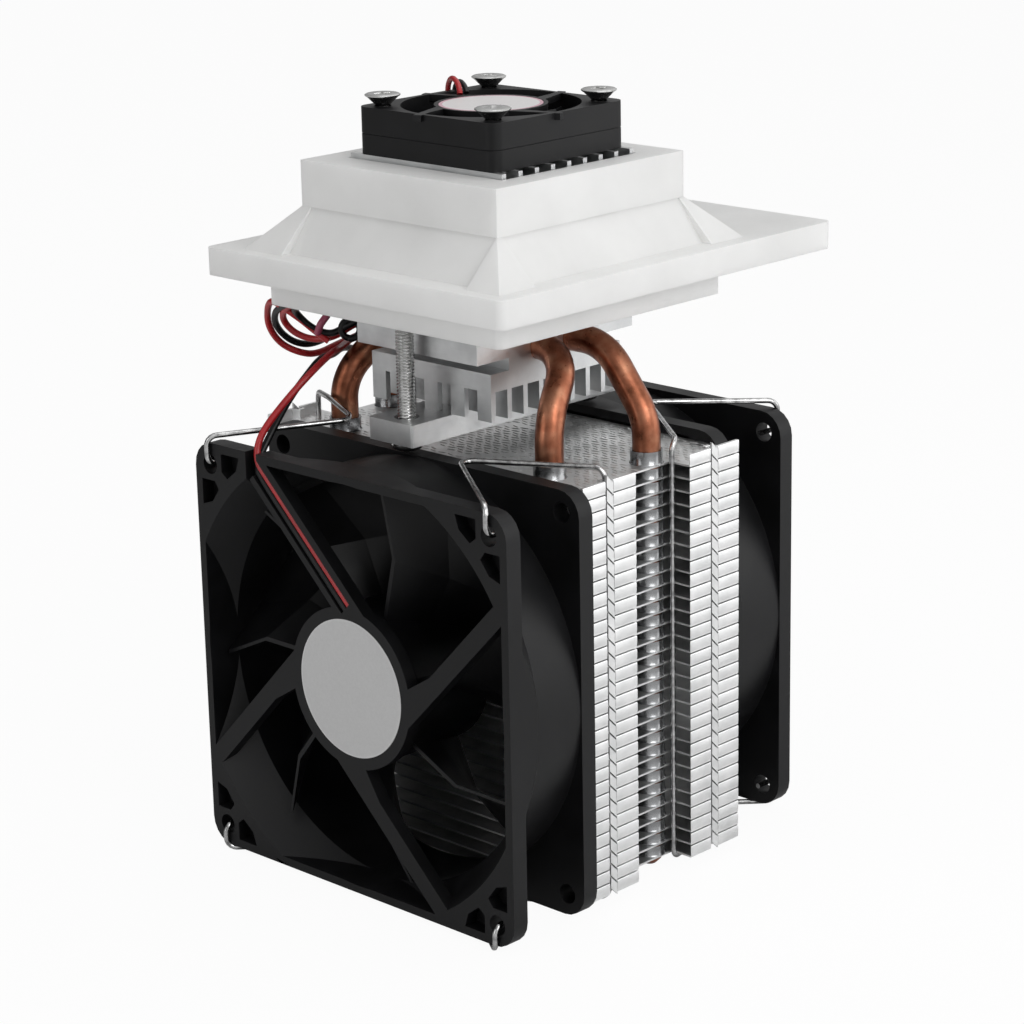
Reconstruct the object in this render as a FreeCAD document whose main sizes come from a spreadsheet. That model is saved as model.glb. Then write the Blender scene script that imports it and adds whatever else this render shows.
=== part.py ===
import FreeCAD, Part
import math
import os
import re
import Sketcher
from FreeCAD import Placement, Rotation, Vector

# A small thermoelectric cooler: a cold side with its fan in a plastic bulkhead, a hot base with
# two heat pipes, and a stack of fins between two larger fans. Lengths are in millimetres.
# The stack of fins stands on the middle of the drawing, and z is zero under the large fans.

DIMENSIONS = {
    "large_side": 92, "large_depth": 25, "large_flange": 4, "large_corner": 5.5,
    "large_bore": 44.3, "large_duct_wall": 1.5, "large_hole_spacing": 82.5, "large_hole": 2.15,
    "large_hub": 17, "large_hub_disc": 17.6, "large_strut_width": 6.5, "large_strut_angle": 33,
    "large_label": 15, "large_shaft": 1.5, "large_strut_depth": 3, "large_cup_wall": 1.5,
    "large_blade_thickness": 1.1, "large_blade_turn": 40,
    "small_side": 40, "small_depth": 10, "small_flange": 2.6, "small_corner": 3,
    "small_bore": 19, "small_duct_wall": 0.8, "small_hole_spacing": 32, "small_hole": 1.8,
    "small_hub": 11.5, "small_hub_disc": 12, "small_strut_width": 2.6, "small_strut_angle": 15,
    "small_label": 11, "small_shaft": 0.75, "small_strut_depth": 1.4, "small_cup_wall": 0.8,
    "small_blade_thickness": 0.6, "small_blade_turn": 38,
    "front_fan_x": 3.5, "rear_fan_x": -4.5,
    "running_gap": 0.05, "tip_gap": 1, "cup_gap": 0.6, "fit_gap": 0.3,
    "pocket_size": 3, "pocket_offset": 6, "pocket_edge": 4.2, "notch_x": -28.3, "notch_width": 3.2,
    "notch_height": 5.5, "channel_width": 3.6, "channel_depth": 1.8,
    "stack_width": 94, "stack_depth": 49, "stack_bottom": 1.9, "fin_pitch": 2.92,
    "fin_thickness": 0.4, "fin_count": 31, "column_width": 16, "recess_depth": 5.3,
    "tab_thickness": 0.8, "tab_groove": 1.2, "collar_wall": 0.4,
    "pipe_radius": 3, "pipe_bend": 12, "pipe_rise": 1, "pipe_end": -0.9,
    "inner_leg_x": 30.5, "inner_leg_y": -16.5, "inner_run_x": 22, "inner_run_y": -5,
    "inner_knee_drop": 11.3, "outer_leg_x": 41, "outer_leg_y": 2, "outer_run_x": 24,
    "outer_run_y": 5, "outer_knee_drop": 14.3,
    "bar_gap": 2.68, "bar_width": 13, "bar_length": 64.4, "bar_thickness": 4.8,
    "bolt_spacing": 54.6, "bolt_radius": 2, "bolt_head_radius": 3.6, "bolt_head_height": 2.3,
    "bolt_thread_depth": 9,
    "base_width": 35.2, "base_length": 40, "base_height": 12.8, "base_ledge_drop": 2.6,
    "base_ledge_width": 5.5, "pin_height": 6.3, "pin_wall": 1.3, "pin_rows": 9,
    "pin_width": 4, "pin_pitch": 7.8, "pin_columns": 5,
    "slab_width": 35.3, "slab_length": 48, "slab_thickness": 6.5,
    "gasket_thickness": 1.2, "gasket_side": 47, "ceramic_side": 40, "ceramic_thickness": 0.7,
    "wafer_thickness": 3.8, "pellet_side": 1.6, "pellet_rows": 8, "window_gap": 0.5,
    "plate_side": 70, "plate_thickness": 6, "flange_width": 82.5, "flange_front": 41,
    "flange_back": 62.5, "flange_thickness": 6, "flange_corner": 3,
    "hood_side": 75, "hood_height": 9, "collar_side": 57, "collar_height": 9,
    "sink_width": 44, "sink_length": 40, "cold_block_height": 13.2, "sink_base": 3,
    "sink_height": 16, "sink_fin": 1.2, "sink_fins": 9,
    "screw_radius": 1.4, "screw_head_radius": 3.8, "screw_head_height": 2.6,
    "screw_proud": 2.6, "screw_length": 27,
    "clip_wire": 1.2, "clip_gap": 0.1, "clip_bend": 1.6,
    "lead_radius": 0.75, "module_lead_radius": 0.9,
}

# Heights that follow from the sizes.
LEVELS = {
    "stack_top": "(stack_bottom - fin_thickness + fin_pitch * fin_count)",
    "bar_bottom": "(stack_top + bar_gap)",
    "base_bottom": "(bar_bottom + bar_thickness)",
    "base_top": "(base_bottom + base_height)",
    "base_ledge": "(base_top - base_ledge_drop)",
    "pipe_axis": "(base_top + pipe_rise)",
    "inner_knee": "(pipe_axis - inner_knee_drop)",
    "outer_knee": "(pipe_axis - outer_knee_drop)",
    "plate_bottom": "(base_top + slab_thickness + gasket_thickness)",
    "flange_bottom": "(plate_bottom + plate_thickness)",
    "hood_bottom": "(flange_bottom + flange_thickness)",
    "collar_bottom": "(hood_bottom + hood_height)",
    "collar_top": "(collar_bottom + collar_height)",
    "wafer_top": "(base_top + slab_thickness + wafer_thickness)",
    "sink_bottom": "(wafer_top + cold_block_height)",
    "sink_top": "(sink_bottom + sink_height)",
}

doc = FreeCAD.newDocument("ThermoelectricCooler")
sheet = doc.addObject("Spreadsheet::Sheet", "Sizes")
for row, (alias, number) in enumerate(DIMENSIONS.items(), start=1):
    sheet.set(f"A{row}", alias)
    sheet.set(f"B{row}", str(number))
    sheet.setAlias(f"B{row}", alias)
doc.recompute()

pieces = []


def cells(formula):
    """The formula with each level written out and each size pointing to its cell of the sheet."""
    def written_out(found):
        name = found.group()
        if name in LEVELS:
            return cells(LEVELS[name])
        return "Sizes." + name if name in DIMENSIONS else name
    return re.sub(r"[a-z][a-z_]*", written_out, formula)


def value(formula):
    """The number that a formula has now."""
    return float(sheet.evalExpression(cells(formula)))


def bind(item, **formulas):
    """Ties properties of an item to formulas; a double underscore stands for a dot."""
    for name, formula in formulas.items():
        item.setExpression(name.replace("__", "."), cells(formula))
    return item


def move(item, x="0", y="0", z="0"):
    return bind(item, Placement__Base__x=x, Placement__Base__y=y, Placement__Base__z=z)


# The drawing's middle moves to the middle of the whole cooler, and its lowest wire to z = 0.
MIDDLE_X = "-(front_fan_x + rear_fan_x) / 2"
MIDDLE_Y = "-(flange_back - stack_depth / 2 - large_depth - clip_wire - clip_gap) / 2"
LOWEST_Z = "clip_wire + clip_gap"


def keep(item, node, x="0", y="0", z="0", turn=None):
    """Names a finished piece and seats it in the frame of the whole cooler."""
    item.Label = node
    if turn:
        item.Placement = Placement(Vector(), turn)
    move(item, f"({x}) + {MIDDLE_X}", f"({y}) + {MIDDLE_Y}", f"({z}) + {LOWEST_Z}")
    pieces.append(item)
    return item


def box(name, width, length, height, x="0", y="0", z="0"):
    """A box centred on x and y, standing on z."""
    item = doc.addObject("Part::Box", name)
    bind(item, Length=width, Width=length, Height=height)
    return move(item, f"({x}) - ({width}) / 2", f"({y}) - ({length}) / 2", z)


def keep_square(node, side, height, z):
    """A square block kept as a piece of its own."""
    return keep(box(node + "Block", side, side, height), node, f"-({side}) / 2", f"-({side}) / 2", z)


def rod(name, radius, height, x="0", y="0", z="0"):
    """An upright cylinder standing on z."""
    item = doc.addObject("Part::Cylinder", name)
    bind(item, Radius=radius, Height=height)
    return move(item, x, y, z)


def cut(name, base, tools):
    """The base with one or more tools taken away."""
    tool = tools[0] if len(tools) == 1 else join(name + "Tools", tools)
    item = doc.addObject("Part::Cut", name)
    item.Base = base
    item.Tool = tool
    return item


def join(name, items):
    item = doc.addObject("Part::MultiFuse", name)
    item.Shapes = items
    return item


def group(name, items):
    """Separate solids of one kind that share a node."""
    item = doc.addObject("Part::Compound", name)
    item.Links = items
    return item


def free_shape(name, shape):
    item = doc.addObject("Part::Feature", name)
    item.Shape = shape
    return item


def tube(name, outer, inner, height, z="0"):
    outside = rod(name + "Outside", outer, height, z=z)
    inside = rod(name + "Inside", inner, f"{height} + 2", z=f"{z} - 1")
    return cut(name, outside, [inside])


def origin_feature(body, role):
    return next(part for part in body.Origin.OriginFeatures if part.Role == role)


def outline(body, name, role, corners, lift=None):
    """A closed sketch of straight lines whose corners are formulas, on a plane of the body."""
    sketch = body.newObject("Sketcher::SketchObject", name)
    sketch.AttachmentSupport = (origin_feature(body, role), "")
    sketch.MapMode = "FlatFace"
    spots = [Vector(value(across), value(up), 0) for across, up in corners]
    for index, spot in enumerate(spots):
        sketch.addGeometry(Part.LineSegment(spot, spots[(index + 1) % len(spots)]), False)
    for index, (across, up) in enumerate(corners):
        following = (index + 1) % len(spots)
        sketch.addConstraint(Sketcher.Constraint("Coincident", index, 2, following, 1))
        for kind, formula in (("DistanceX", across), ("DistanceY", up)):
            number = sketch.addConstraint(Sketcher.Constraint(kind, index, 1, value(formula)))
            sketch.setExpression(f"Constraints[{number}]", cells(formula))
    if lift:
        sketch.setExpression("AttachmentOffset.Base.z", cells(lift))
    return sketch


def turned(name, corners):
    """A body turned about z from an outline of (radius, height) corners."""
    body = doc.addObject("PartDesign::Body", name)
    profile = outline(body, name + "Profile", "XZ_Plane", corners)
    turn = body.newObject("PartDesign::Revolution", name + "Turn")
    turn.Profile = profile
    turn.ReferenceAxis = (profile, ["V_Axis"])
    turn.Angle = 360
    return body


def rectangle(width, length):
    """The corners of a rectangle about the middle."""
    across, along = f"({width}) / 2", f"({length}) / 2"
    return [(f"-{across}", f"-{along}"), (across, f"-{along}"),
            (across, along), (f"-{across}", along)]


def padded(name, corners, height, role="XY_Plane", lift=None):
    """A body padded up from an outline."""
    body = doc.addObject("PartDesign::Body", name)
    profile = outline(body, name + "Profile", role, corners, lift)
    pad = body.newObject("PartDesign::Pad", name + "Pad")
    pad.Profile = profile
    bind(pad, Length=height)
    return body, pad


def rounded_plate(name, width, length, height, radius, corners=None):
    """A plate whose four upright edges are rounded."""
    body, pad = padded(name, corners or rectangle(width, length), height)
    doc.recompute()
    upright = [f"Edge{number}" for number, edge in enumerate(pad.Shape.Edges, start=1)
               if abs(edge.tangentAt(edge.FirstParameter).z) > 0.99]
    rounding = body.newObject("PartDesign::Fillet", name + "Corners")
    rounding.Base = (pad, upright)
    bind(rounding, Radius=radius)
    return body


def bent_path(points, radii):
    """Straight runs through the points, joined by tangent arcs at the inner ones."""
    edges = []
    start = points[0]
    for before, corner, after, radius in zip(points, points[1:], points[2:], radii):
        towards = (before - corner).normalize()
        away = (after - corner).normalize()
        half = math.pi / 2 - towards.getAngle(away) / 2
        reach = radius * math.tan(half)
        first = corner + towards * reach
        last = corner + away * reach
        inward = (towards + away).normalize()
        middle = corner + inward * (radius / math.cos(half) - radius)
        edges.append(Part.LineSegment(start, first).toShape())
        edges.append(Part.Arc(first, middle, last).toShape())
        start = last
    edges.append(Part.LineSegment(start, points[-1]).toShape())
    return Part.Wire(edges)


def swept_rod(path, radius):
    """A round rod along a path."""
    start = path.Edges[0]
    heading = start.tangentAt(start.FirstParameter)
    circle = Part.Circle(start.valueAt(start.FirstParameter), heading, radius).toShape()
    return path.makePipeShell([Part.Wire(circle)], True, False)


def place_along(points):
    """Points given as formulas, as vectors."""
    return [Vector(*(value(part) for part in point)) for point in points]


def corner_spots(spacing):
    half = f"({spacing}) / 2"
    return [(f"{across}{half}", f"{up}{half}") for across in ("-", "") for up in ("-", "")]


# Fans. Each is drawn about its own axis, its front face at z = 0 and its depth below.

def fan_frame(kind):
    """The moulded frame: two flanges on a round duct, and struts that carry the motor."""
    side, depth, flange = f"{kind}_side", f"{kind}_depth", f"{kind}_flange"
    front = rounded_plate(kind + "Front", side, side, flange, f"{kind}_corner")
    rear = rounded_plate(kind + "Rear", side, side, flange, f"{kind}_corner")
    move(front, z=f"-{flange}")
    move(rear, z=f"-{depth}")
    duct = rod(kind + "Duct", f"{kind}_bore + {kind}_duct_wall", depth, z=f"-{depth}")
    posts = [rod(f"{kind}Post{index}", f"{kind}_hole + 2 * {kind}_duct_wall", depth, x, y, f"-{depth}")
             for index, (x, y) in enumerate(corner_spots(f"{kind}_hole_spacing"))]
    if kind == "large":
        posts = []
    shell = join(kind + "Shell", [front, rear, duct] + posts)
    openings = [rod(kind + "Bore", f"{kind}_bore", f"{depth} + 2", z=f"-{depth} - 1")]
    for index, (x, y) in enumerate(corner_spots(f"{kind}_hole_spacing")):
        openings.append(rod(f"{kind}Hole{index}", f"{kind}_hole", f"{depth} + 2", x, y, f"-{depth} - 1"))
    if kind == "large":
        openings += corner_pockets()
        openings.append(box("CableNotch", "notch_width", "notch_height + 1", "large_flange + 1",
                            "notch_x", "large_side / 2 - notch_height / 2 + 0.5",
                            "-large_flange - 0.5"))
    ring = cut(kind + "Ring", shell, openings)
    whole = join(kind + "Whole", [ring, strut_spider(kind), bearing_tube(kind)])
    recesses = [rod(kind + "LabelRecess", f"{kind}_label + running_gap", "1", z="-fit_gap")]
    if kind == "large":
        recesses.append(wire_channel())
    return cut(kind + "Frame", whole, recesses)


def corner_pockets():
    """Five-sided pockets beside each corner hole of the front flange."""
    pockets = []
    near, far = "large_hole_spacing / 2 - pocket_offset", "large_side / 2 - pocket_edge"
    for index, (across, up) in enumerate(((-1, -1), (-1, 1), (1, -1), (1, 1))):
        for swap in (0, 1):
            spot = (near, far) if swap else (far, near)
            pocket = doc.addObject("Part::Prism", f"Pocket{index}{swap}")
            pocket.Polygon = 5
            bind(pocket, Circumradius="pocket_size", Height="large_flange + 1")
            heading = math.degrees(math.atan2(up * (2 if swap else 1), across * (1 if swap else 2)))
            pocket.Placement = Placement(Vector(), Rotation(Vector(0, 0, 1), heading))
            move(pocket, f"{across} * ({spot[0]})", f"{up} * ({spot[1]})", "-large_flange - 0.5")
            pockets.append(pocket)
    return pockets


def strut_spider(kind):
    """The hub disc and the flared struts that run out to the duct."""
    body = doc.addObject("PartDesign::Body", kind + "Spider")
    disc = body.newObject("PartDesign::AdditiveCylinder", kind + "HubDisc")
    bind(disc, Radius=f"{kind}_hub_disc", Height=f"{kind}_strut_depth")
    half = f"{kind}_strut_width / 2"
    reach = f"({kind}_bore + {kind}_duct_wall / 2)"
    corners = [(f"{kind}_hub_disc / 2", f"-2 * {half}"), (f"{kind}_hub_disc * 1.15", f"-{half}"),
               (reach, f"-{half}"), (reach, half), (f"{kind}_hub_disc * 1.15", half),
               (f"{kind}_hub_disc / 2", f"2 * {half}")]
    profile = outline(body, kind + "StrutProfile", "XY_Plane", corners)
    pad = body.newObject("PartDesign::Pad", kind + "Strut")
    pad.Profile = profile
    bind(pad, Length=f"{kind}_strut_depth")
    struts = body.newObject("PartDesign::PolarPattern", kind + "Struts")
    struts.Originals = [pad]
    struts.Axis = (origin_feature(body, "Z_Axis"), [""])
    struts.Angle = 360
    struts.Occurrences = 4
    body.Tip = struts
    body.Placement = Placement(Vector(), Rotation(Vector(0, 0, 1), value(f"{kind}_strut_angle")))
    return move(body, z=f"-{kind}_strut_depth")


def wire_channel():
    """The groove along the upper left strut that holds the fan's own leads."""
    length = "large_bore - large_label - 2"
    channel = box("WireChannel", length, "channel_width", "channel_depth + 1")
    channel.Placement = Placement(Vector(), Rotation(Vector(0, 0, 1), value("large_strut_angle") + 90))
    turn = "(large_strut_angle + 90)"
    inner = "(large_label + 2)"
    return move(channel, f"{inner} * cos({turn} * 1 deg) + channel_width / 2 * sin({turn} * 1 deg)",
                f"{inner} * sin({turn} * 1 deg) - channel_width / 2 * cos({turn} * 1 deg)",
                "-channel_depth")


def bearing_tube(kind):
    """The tube behind the hub disc that holds the sleeve bearing."""
    length = f"({kind}_depth - {kind}_strut_depth - {kind}_cup_wall - 2 * cup_gap)"
    return tube(kind + "BearingTube", f"{kind}_shaft + 2.3", f"{kind}_shaft + 1.1 + running_gap",
                length, f"-{kind}_strut_depth - {length}")


def rotor_cup(kind):
    """The hub cup that closes over the motor from behind."""
    top = f"-{kind}_strut_depth - cup_gap"
    bottom = f"-{kind}_depth + cup_gap"
    roof = f"{bottom} + {kind}_cup_wall"
    inner = f"{kind}_hub - {kind}_cup_wall"
    bore = f"{kind}_shaft"
    return turned(kind + "Cup", [(bore, bottom), (f"{kind}_hub - 0.5", bottom),
                                 (f"{kind}_hub", f"{bottom} + 0.5"), (f"{kind}_hub", top),
                                 (inner, top), (inner, roof), (bore, roof)])


def blade(kind):
    """One swept blade: thin sections at three radii, turned flatter towards the tip."""
    hub, tip = value(f"{kind}_hub"), value(f"{kind}_bore - tip_gap")
    top = value(f"-{kind}_strut_depth - 2 * cup_gap")
    bottom = value(f"-{kind}_depth + 2 * cup_gap")
    thickness = value(f"{kind}_blade_thickness")
    turn = math.radians(value(f"{kind}_blade_turn"))
    sections = []
    for share in (-0.06, 0.45, 1.05):
        radius = hub + share * (tip - hub)
        spread = turn / 2 * (0.75 + 0.25 * share)
        sweep = 0.28 * share * share
        section = []
        for side in (-0.5, 0.5):
            row = [(spread, top), (0.15 * spread, (top + bottom) / 2), (-spread, bottom)]
            for angle, height in (row if side < 0 else row[::-1]):
                around = radius * (angle + sweep) + side * thickness
                section.append(Vector(radius, around, height))
        section.append(section[0])
        sections.append(Part.makePolygon(section))
    return Part.makeLoft(sections, True, True)


def fan_rotor(kind, number=7):
    """The hub cup with its ring of blades, trimmed to a cylinder inside the bore."""
    single = blade(kind)
    depth = value(f"{kind}_depth")
    ring = Part.makeCylinder(value(f"{kind}_bore - tip_gap"), depth, Vector(0, 0, -depth))
    core = Part.makeCylinder(value(f"{kind}_hub - {kind}_cup_wall / 2"), depth, Vector(0, 0, -depth))
    trimmed = single.common(ring).cut(core)
    blades = []
    for step in range(number):
        turned_blade = trimmed.copy()
        turned_blade.rotate(Vector(), Vector(0, 0, 1), 360 * step / number)
        blades.append(turned_blade)
    return join(kind + "Rotor", [rotor_cup(kind), free_shape(kind + "Blades", Part.makeCompound(blades))])


def stator(kind):
    """The laminated core with four wound poles inside the magnet."""
    height = f"({kind}_depth - {kind}_strut_depth) * 0.4"
    z = f"-{kind}_strut_depth - 1.4 - {height}"
    reach = f"({kind}_hub - {kind}_cup_wall) * 0.78"
    inside = rod(kind + "StatorBore", f"{kind}_shaft + 2.3 + running_gap", f"{height} + 2", z=f"{z} - 1")
    hub = rod(kind + "StatorHub", f"{kind}_shaft + 3.6", height, z=z)
    shoes = tube(kind + "StatorShoes", reach, f"{reach} - 1", height, z)
    arms = [box(kind + "PoleAcross", f"2 * {reach} - 1", f"{reach} * 0.42", height, z=z),
            box(kind + "PoleAlong", f"{reach} * 0.42", f"2 * {reach} - 1", height, z=z)]
    gaps = [box(f"{kind}Gap{turn}", f"2 * {reach} + 2", "0.9", f"{height} + 2", z=f"{z} - 1")
            for turn in (45, 135)]
    for gap, turn in zip(gaps, (45, 135)):
        gap.Placement = Placement(Vector(), Rotation(Vector(0, 0, 1), turn))
        move(gap, f"-({reach} + 1) * cos({turn} deg) + 0.45 * sin({turn} deg)",
             f"-({reach} + 1) * sin({turn} deg) - 0.45 * cos({turn} deg)", f"{z} - 1")
    poles = cut(kind + "Shoes", shoes, gaps)
    return cut(kind + "Stator", join(kind + "Core", [hub, poles] + arms), [inside])


def fan(kind, name, x, y, z, turn=None):
    """All the pieces of one fan, seated together."""
    seat = {"x": x, "y": y, "z": z, "turn": turn}
    roof = f"-{kind}_depth + cup_gap"
    shaft_top = f"-{kind}_strut_depth - 0.2"
    sleeve = f"({kind}_depth - {kind}_strut_depth - {kind}_cup_wall - 2 * cup_gap)"
    ring = f"({kind}_hub - {kind}_cup_wall)"
    magnet = f"({kind}_depth - {kind}_strut_depth) * 0.55"
    keep(fan_frame(kind), name + "_frame", **seat)
    keep(rod(name + "Label", f"{kind}_label", "fit_gap - 0.05"), name + "_label",
         x, *((f"{y} + fit_gap", z, turn) if turn else (y, f"{z} - fit_gap")))
    keep(stator(kind), name + "_stator", **seat)
    keep(tube(name + "Bearing", f"{kind}_shaft + 1.1", f"{kind}_shaft + running_gap", sleeve,
              f"-{kind}_strut_depth - {sleeve}"), name + "_bearing", **seat)
    keep(fan_rotor(kind), name + "_rotor", **seat)
    keep(tube(name + "Magnet", f"{ring} - running_gap", f"{ring} * 0.86", magnet,
              f"-{kind}_strut_depth - cup_gap - {magnet}"), name + "_magnet", **seat)
    keep(turned(name + "Shaft", [("0", roof), (f"{kind}_shaft", roof), (f"{kind}_shaft", shaft_top),
                                 ("0", shaft_top)]), name + "_shaft", **seat)


# Cold side.

def cold_heatsink():
    """An extruded sink: a base and upright fins that run along x."""
    base = box("SinkBase", "sink_width", "sink_length", "sink_base", z="sink_bottom")
    fins = []
    pitch = "(sink_length - sink_fin) / (sink_fins - 1)"
    for index in range(round(value("sink_fins"))):
        fins.append(box(f"SinkFin{index}", "sink_width", "sink_fin", "sink_top - sink_bottom",
                        y=f"-(sink_length - sink_fin) / 2 + {index} * {pitch}", z="sink_bottom"))
    holes = [rod(f"SinkHole{index}", "screw_radius + fit_gap / 2", "sink_top - sink_bottom + 2", x, y,
                 "sink_bottom - 1") for index, (x, y) in enumerate(corner_spots("small_hole_spacing"))]
    return cut("Sink", join("SinkSolid", [base] + fins), holes)


def fan_screws():
    """Four long countersunk screws, their heads standing proud on the frame's corners."""
    head = "sink_top + small_depth"
    tall = "screw_head_height"
    screws = []
    for index, (x, y) in enumerate(corner_spots("small_hole_spacing")):
        screw = turned(f"Screw{index}", [
            ("0", f"{head} + screw_proud - screw_length"),
            ("screw_radius", f"{head} + screw_proud - screw_length + screw_radius"),
            ("screw_radius", f"{head} + screw_proud - {tall}"),
            ("screw_head_radius", f"{head} + screw_proud - 0.4"),
            ("screw_head_radius * 0.8", f"{head} + screw_proud"), ("0", f"{head} + screw_proud")])
        screws.append(move(screw, x, y))
    return group("Screws", screws)


def pellets():
    """Semiconductor pellets in a square grid between the ceramic plates."""
    count = round(value("pellet_rows"))
    side = value("pellet_side")
    pitch = (value("ceramic_side") - 2 - side) / (count - 1)
    bottom = value("base_top + slab_thickness + ceramic_thickness")
    height = value("wafer_thickness - 2 * ceramic_thickness")
    blocks = []
    for row in range(count):
        for column in range(count):
            x = (column - (count - 1) / 2) * pitch
            y = (row - (count - 1) / 2) * pitch
            blocks.append(Part.makeBox(side, side, height, Vector(x - side / 2, y - side / 2, bottom)))
    return free_shape("Pellets", Part.makeCompound(blocks))


def hood(name, low, high, bottom, height):
    """A square frustum lofted between two sketches."""
    body = doc.addObject("PartDesign::Body", name)
    lower = outline(body, name + "Lower", "XY_Plane", rectangle(low, low), bottom)
    upper = outline(body, name + "Upper", "XY_Plane", rectangle(high, high), f"{bottom} + {height}")
    loft = body.newObject("PartDesign::AdditiveLoft", name + "Loft")
    loft.Profile = lower
    loft.Sections = [upper]
    loft.Ruled = True
    return body


def bulkhead_adapter():
    """The frosted plastic bulkhead: lower plate, wide flange, sloping hood and collar."""
    across = "flange_width / 2"
    flange = rounded_plate("Flange", "", "", "flange_thickness", "flange_corner", corners=[
        (f"-{across}", "-flange_front"), (across, "-flange_front"),
        (across, "flange_back"), (f"-{across}", "flange_back")])
    move(flange, z="flange_bottom")
    lower = rounded_plate("LowerPlate", "plate_side", "plate_side", "plate_thickness", "flange_corner")
    move(lower, z="plate_bottom")
    slope = hood("Hood", "hood_side", "collar_side", "hood_bottom", "hood_height")
    collar = box("Collar", "collar_side", "collar_side", "collar_height", z="collar_bottom")
    window = box("Window", "ceramic_side + 2 * window_gap", "ceramic_side + 2 * window_gap",
                 "collar_top", z="plate_bottom - 1")
    well = box("Well", "sink_width + 2 * window_gap", "sink_length + 2 * window_gap",
               "collar_top", z="sink_bottom - window_gap")
    threads = [rod(f"ThreadHole{index}", "bolt_radius + fit_gap / 2", "bolt_thread_depth + 2",
                   y=f"{side}bolt_spacing / 2", z="plate_bottom - 1")
               for index, side in enumerate(("-", ""))]
    solid = join("AdapterSolid", [lower, flange, slope, collar])
    return cut("Adapter", solid, [window, well] + threads)


# Hot side.

def pipe_path(kind):
    """The route of one bent heat pipe: down a leg, across the hot base, down the other leg."""
    leg = (f"{kind}_leg_x", f"{kind}_leg_y")
    run = (f"{kind}_run_x", f"{kind}_run_y", "pipe_axis")
    right = [run, leg + (f"{kind}_knee",), leg + ("pipe_end + pipe_radius",)]
    left = [("-" + x, y, z) for x, y, z in right]
    return bent_path(place_along(left[::-1] + right), [value("pipe_bend")] * 4)


def heat_pipe(kind):
    """A copper pipe with rounded ends."""
    path = pipe_path(kind)
    radius = value("pipe_radius")
    body = swept_rod(path, radius)
    ends = [Part.makeSphere(radius, spot) for spot in
            place_along([(f"{side}{kind}_leg_x", f"{kind}_leg_y", "pipe_end + pipe_radius")
                         for side in ("-", "")])]
    return free_shape(kind + "Pipe", body.fuse(ends).removeSplitter())


def pipe_groove(kind):
    """The clearance that a pipe needs where it crosses the hot base."""
    reach = "base_width"
    groove = doc.addObject("Part::Cylinder", kind + "Groove" + str(len(doc.Objects)))
    bind(groove, Radius="pipe_radius + running_gap", Height=f"2 * {reach}")
    groove.Placement = Placement(Vector(), Rotation(Vector(0, 1, 0), 90))
    return move(groove, f"-{reach}", f"{kind}_run_y", "pipe_axis")


def finned_hot_base():
    """An extruded block on its head, its thin walls cross-cut into pins."""
    bottom = "base_bottom"
    half = "base_length / 2"
    body, pad = padded("HotBlock", [
        (f"-{half}", bottom), (half, bottom), (half, "base_ledge"),
        (f"{half} - base_ledge_width", "base_ledge"), (f"{half} - base_ledge_width", "base_top"),
        (f"-{half} + base_ledge_width", "base_top"), (f"-{half} + base_ledge_width", "base_ledge"),
        (f"-{half}", "base_ledge")], "base_width", role="YZ_Plane")
    pad.Midplane = True
    gap = f"((base_length - pin_rows * pin_wall) / (pin_rows - 1))"
    slots = []
    for index in range(round(value("pin_rows")) - 1):
        slots.append(box(f"PinSlot{index}", "base_width + 2", gap, "pin_height + 1",
                         y=f"-{half} + pin_wall + {gap} / 2 + {index} * ({gap} + pin_wall)",
                         z=f"{bottom} - 1"))
    for index in range(round(value("pin_columns")) - 1):
        slots.append(box(f"CrossCut{index}", "pin_pitch - pin_width", "base_length + 2", "pin_height + 1",
                         x=f"-base_width / 2 + pin_width + (pin_pitch - pin_width) / 2 + {index} * pin_pitch",
                         z=f"{bottom} - 1"))
    return cut("HotBase", body, slots + [pipe_groove("inner"), pipe_groove("outer")])


def cover_plate():
    plate = box("CoverBlank", "slab_width", "slab_length", "slab_thickness", z="base_top")
    return cut("CoverPlate", plate, [pipe_groove("inner"), pipe_groove("outer")])


def fin_outline(inset=0.0):
    """The outline of a fin: two grooved columns on each side and a recess between them."""
    half_x, half_y = value("stack_width / 2"), value("stack_depth / 2")
    column, recess = value("column_width"), value("recess_depth")
    groove = value("tab_groove")
    side = [(half_x, -half_y), (half_x, -half_y + column / 2 - groove),
            (half_x - groove, -half_y + column / 2), (half_x, -half_y + column / 2 + groove),
            (half_x, -half_y + column), (half_x - recess, -half_y + column)]
    side += [(x, -y) for x, y in reversed(side)]
    left = [(-x, -y) for x, y in side]
    return [Vector(x - math.copysign(inset, x), y, 0) for x, y in side + left]


def fin_stack():
    """Fins whose side tabs close up into grooved columns, with a collar round each pipe."""
    pitch, thickness = value("fin_pitch"), value("fin_thickness")
    count = round(value("fin_count"))
    bottom = value("stack_bottom")
    points = fin_outline()
    outer_face = Part.Face(Part.makePolygon(points + [points[0]]))
    height = pitch * count
    block = outer_face.extrude(Vector(0, 0, height))
    block.translate(Vector(0, 0, bottom - thickness))
    wall = value("tab_thickness")
    between = fin_outline(wall)
    slot_face = Part.Face(Part.makePolygon(between + [between[0]]))
    spots = [(f"{side}{kind}_leg_x", f"{kind}_leg_y") for kind in ("inner", "outer") for side in ("-", "")]
    collar = value("pipe_radius + running_gap + collar_wall")
    collars = [eight_sided(collar, value(x), value(y)) for x, y in spots]
    slot_face = slot_face.cut(Part.makeCompound(collars))
    slots = []
    for index in range(count):
        slot = slot_face.extrude(Vector(0, 0, pitch - thickness))
        slot.translate(Vector(0, 0, bottom + index * pitch))
        slots.append(slot)
    bores = [Part.makeCylinder(value("pipe_radius + running_gap"), height + 2,
                               Vector(value(x), value(y), bottom - 1)) for x, y in spots]
    return free_shape("Fins", block.cut(slots + bores))


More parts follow.
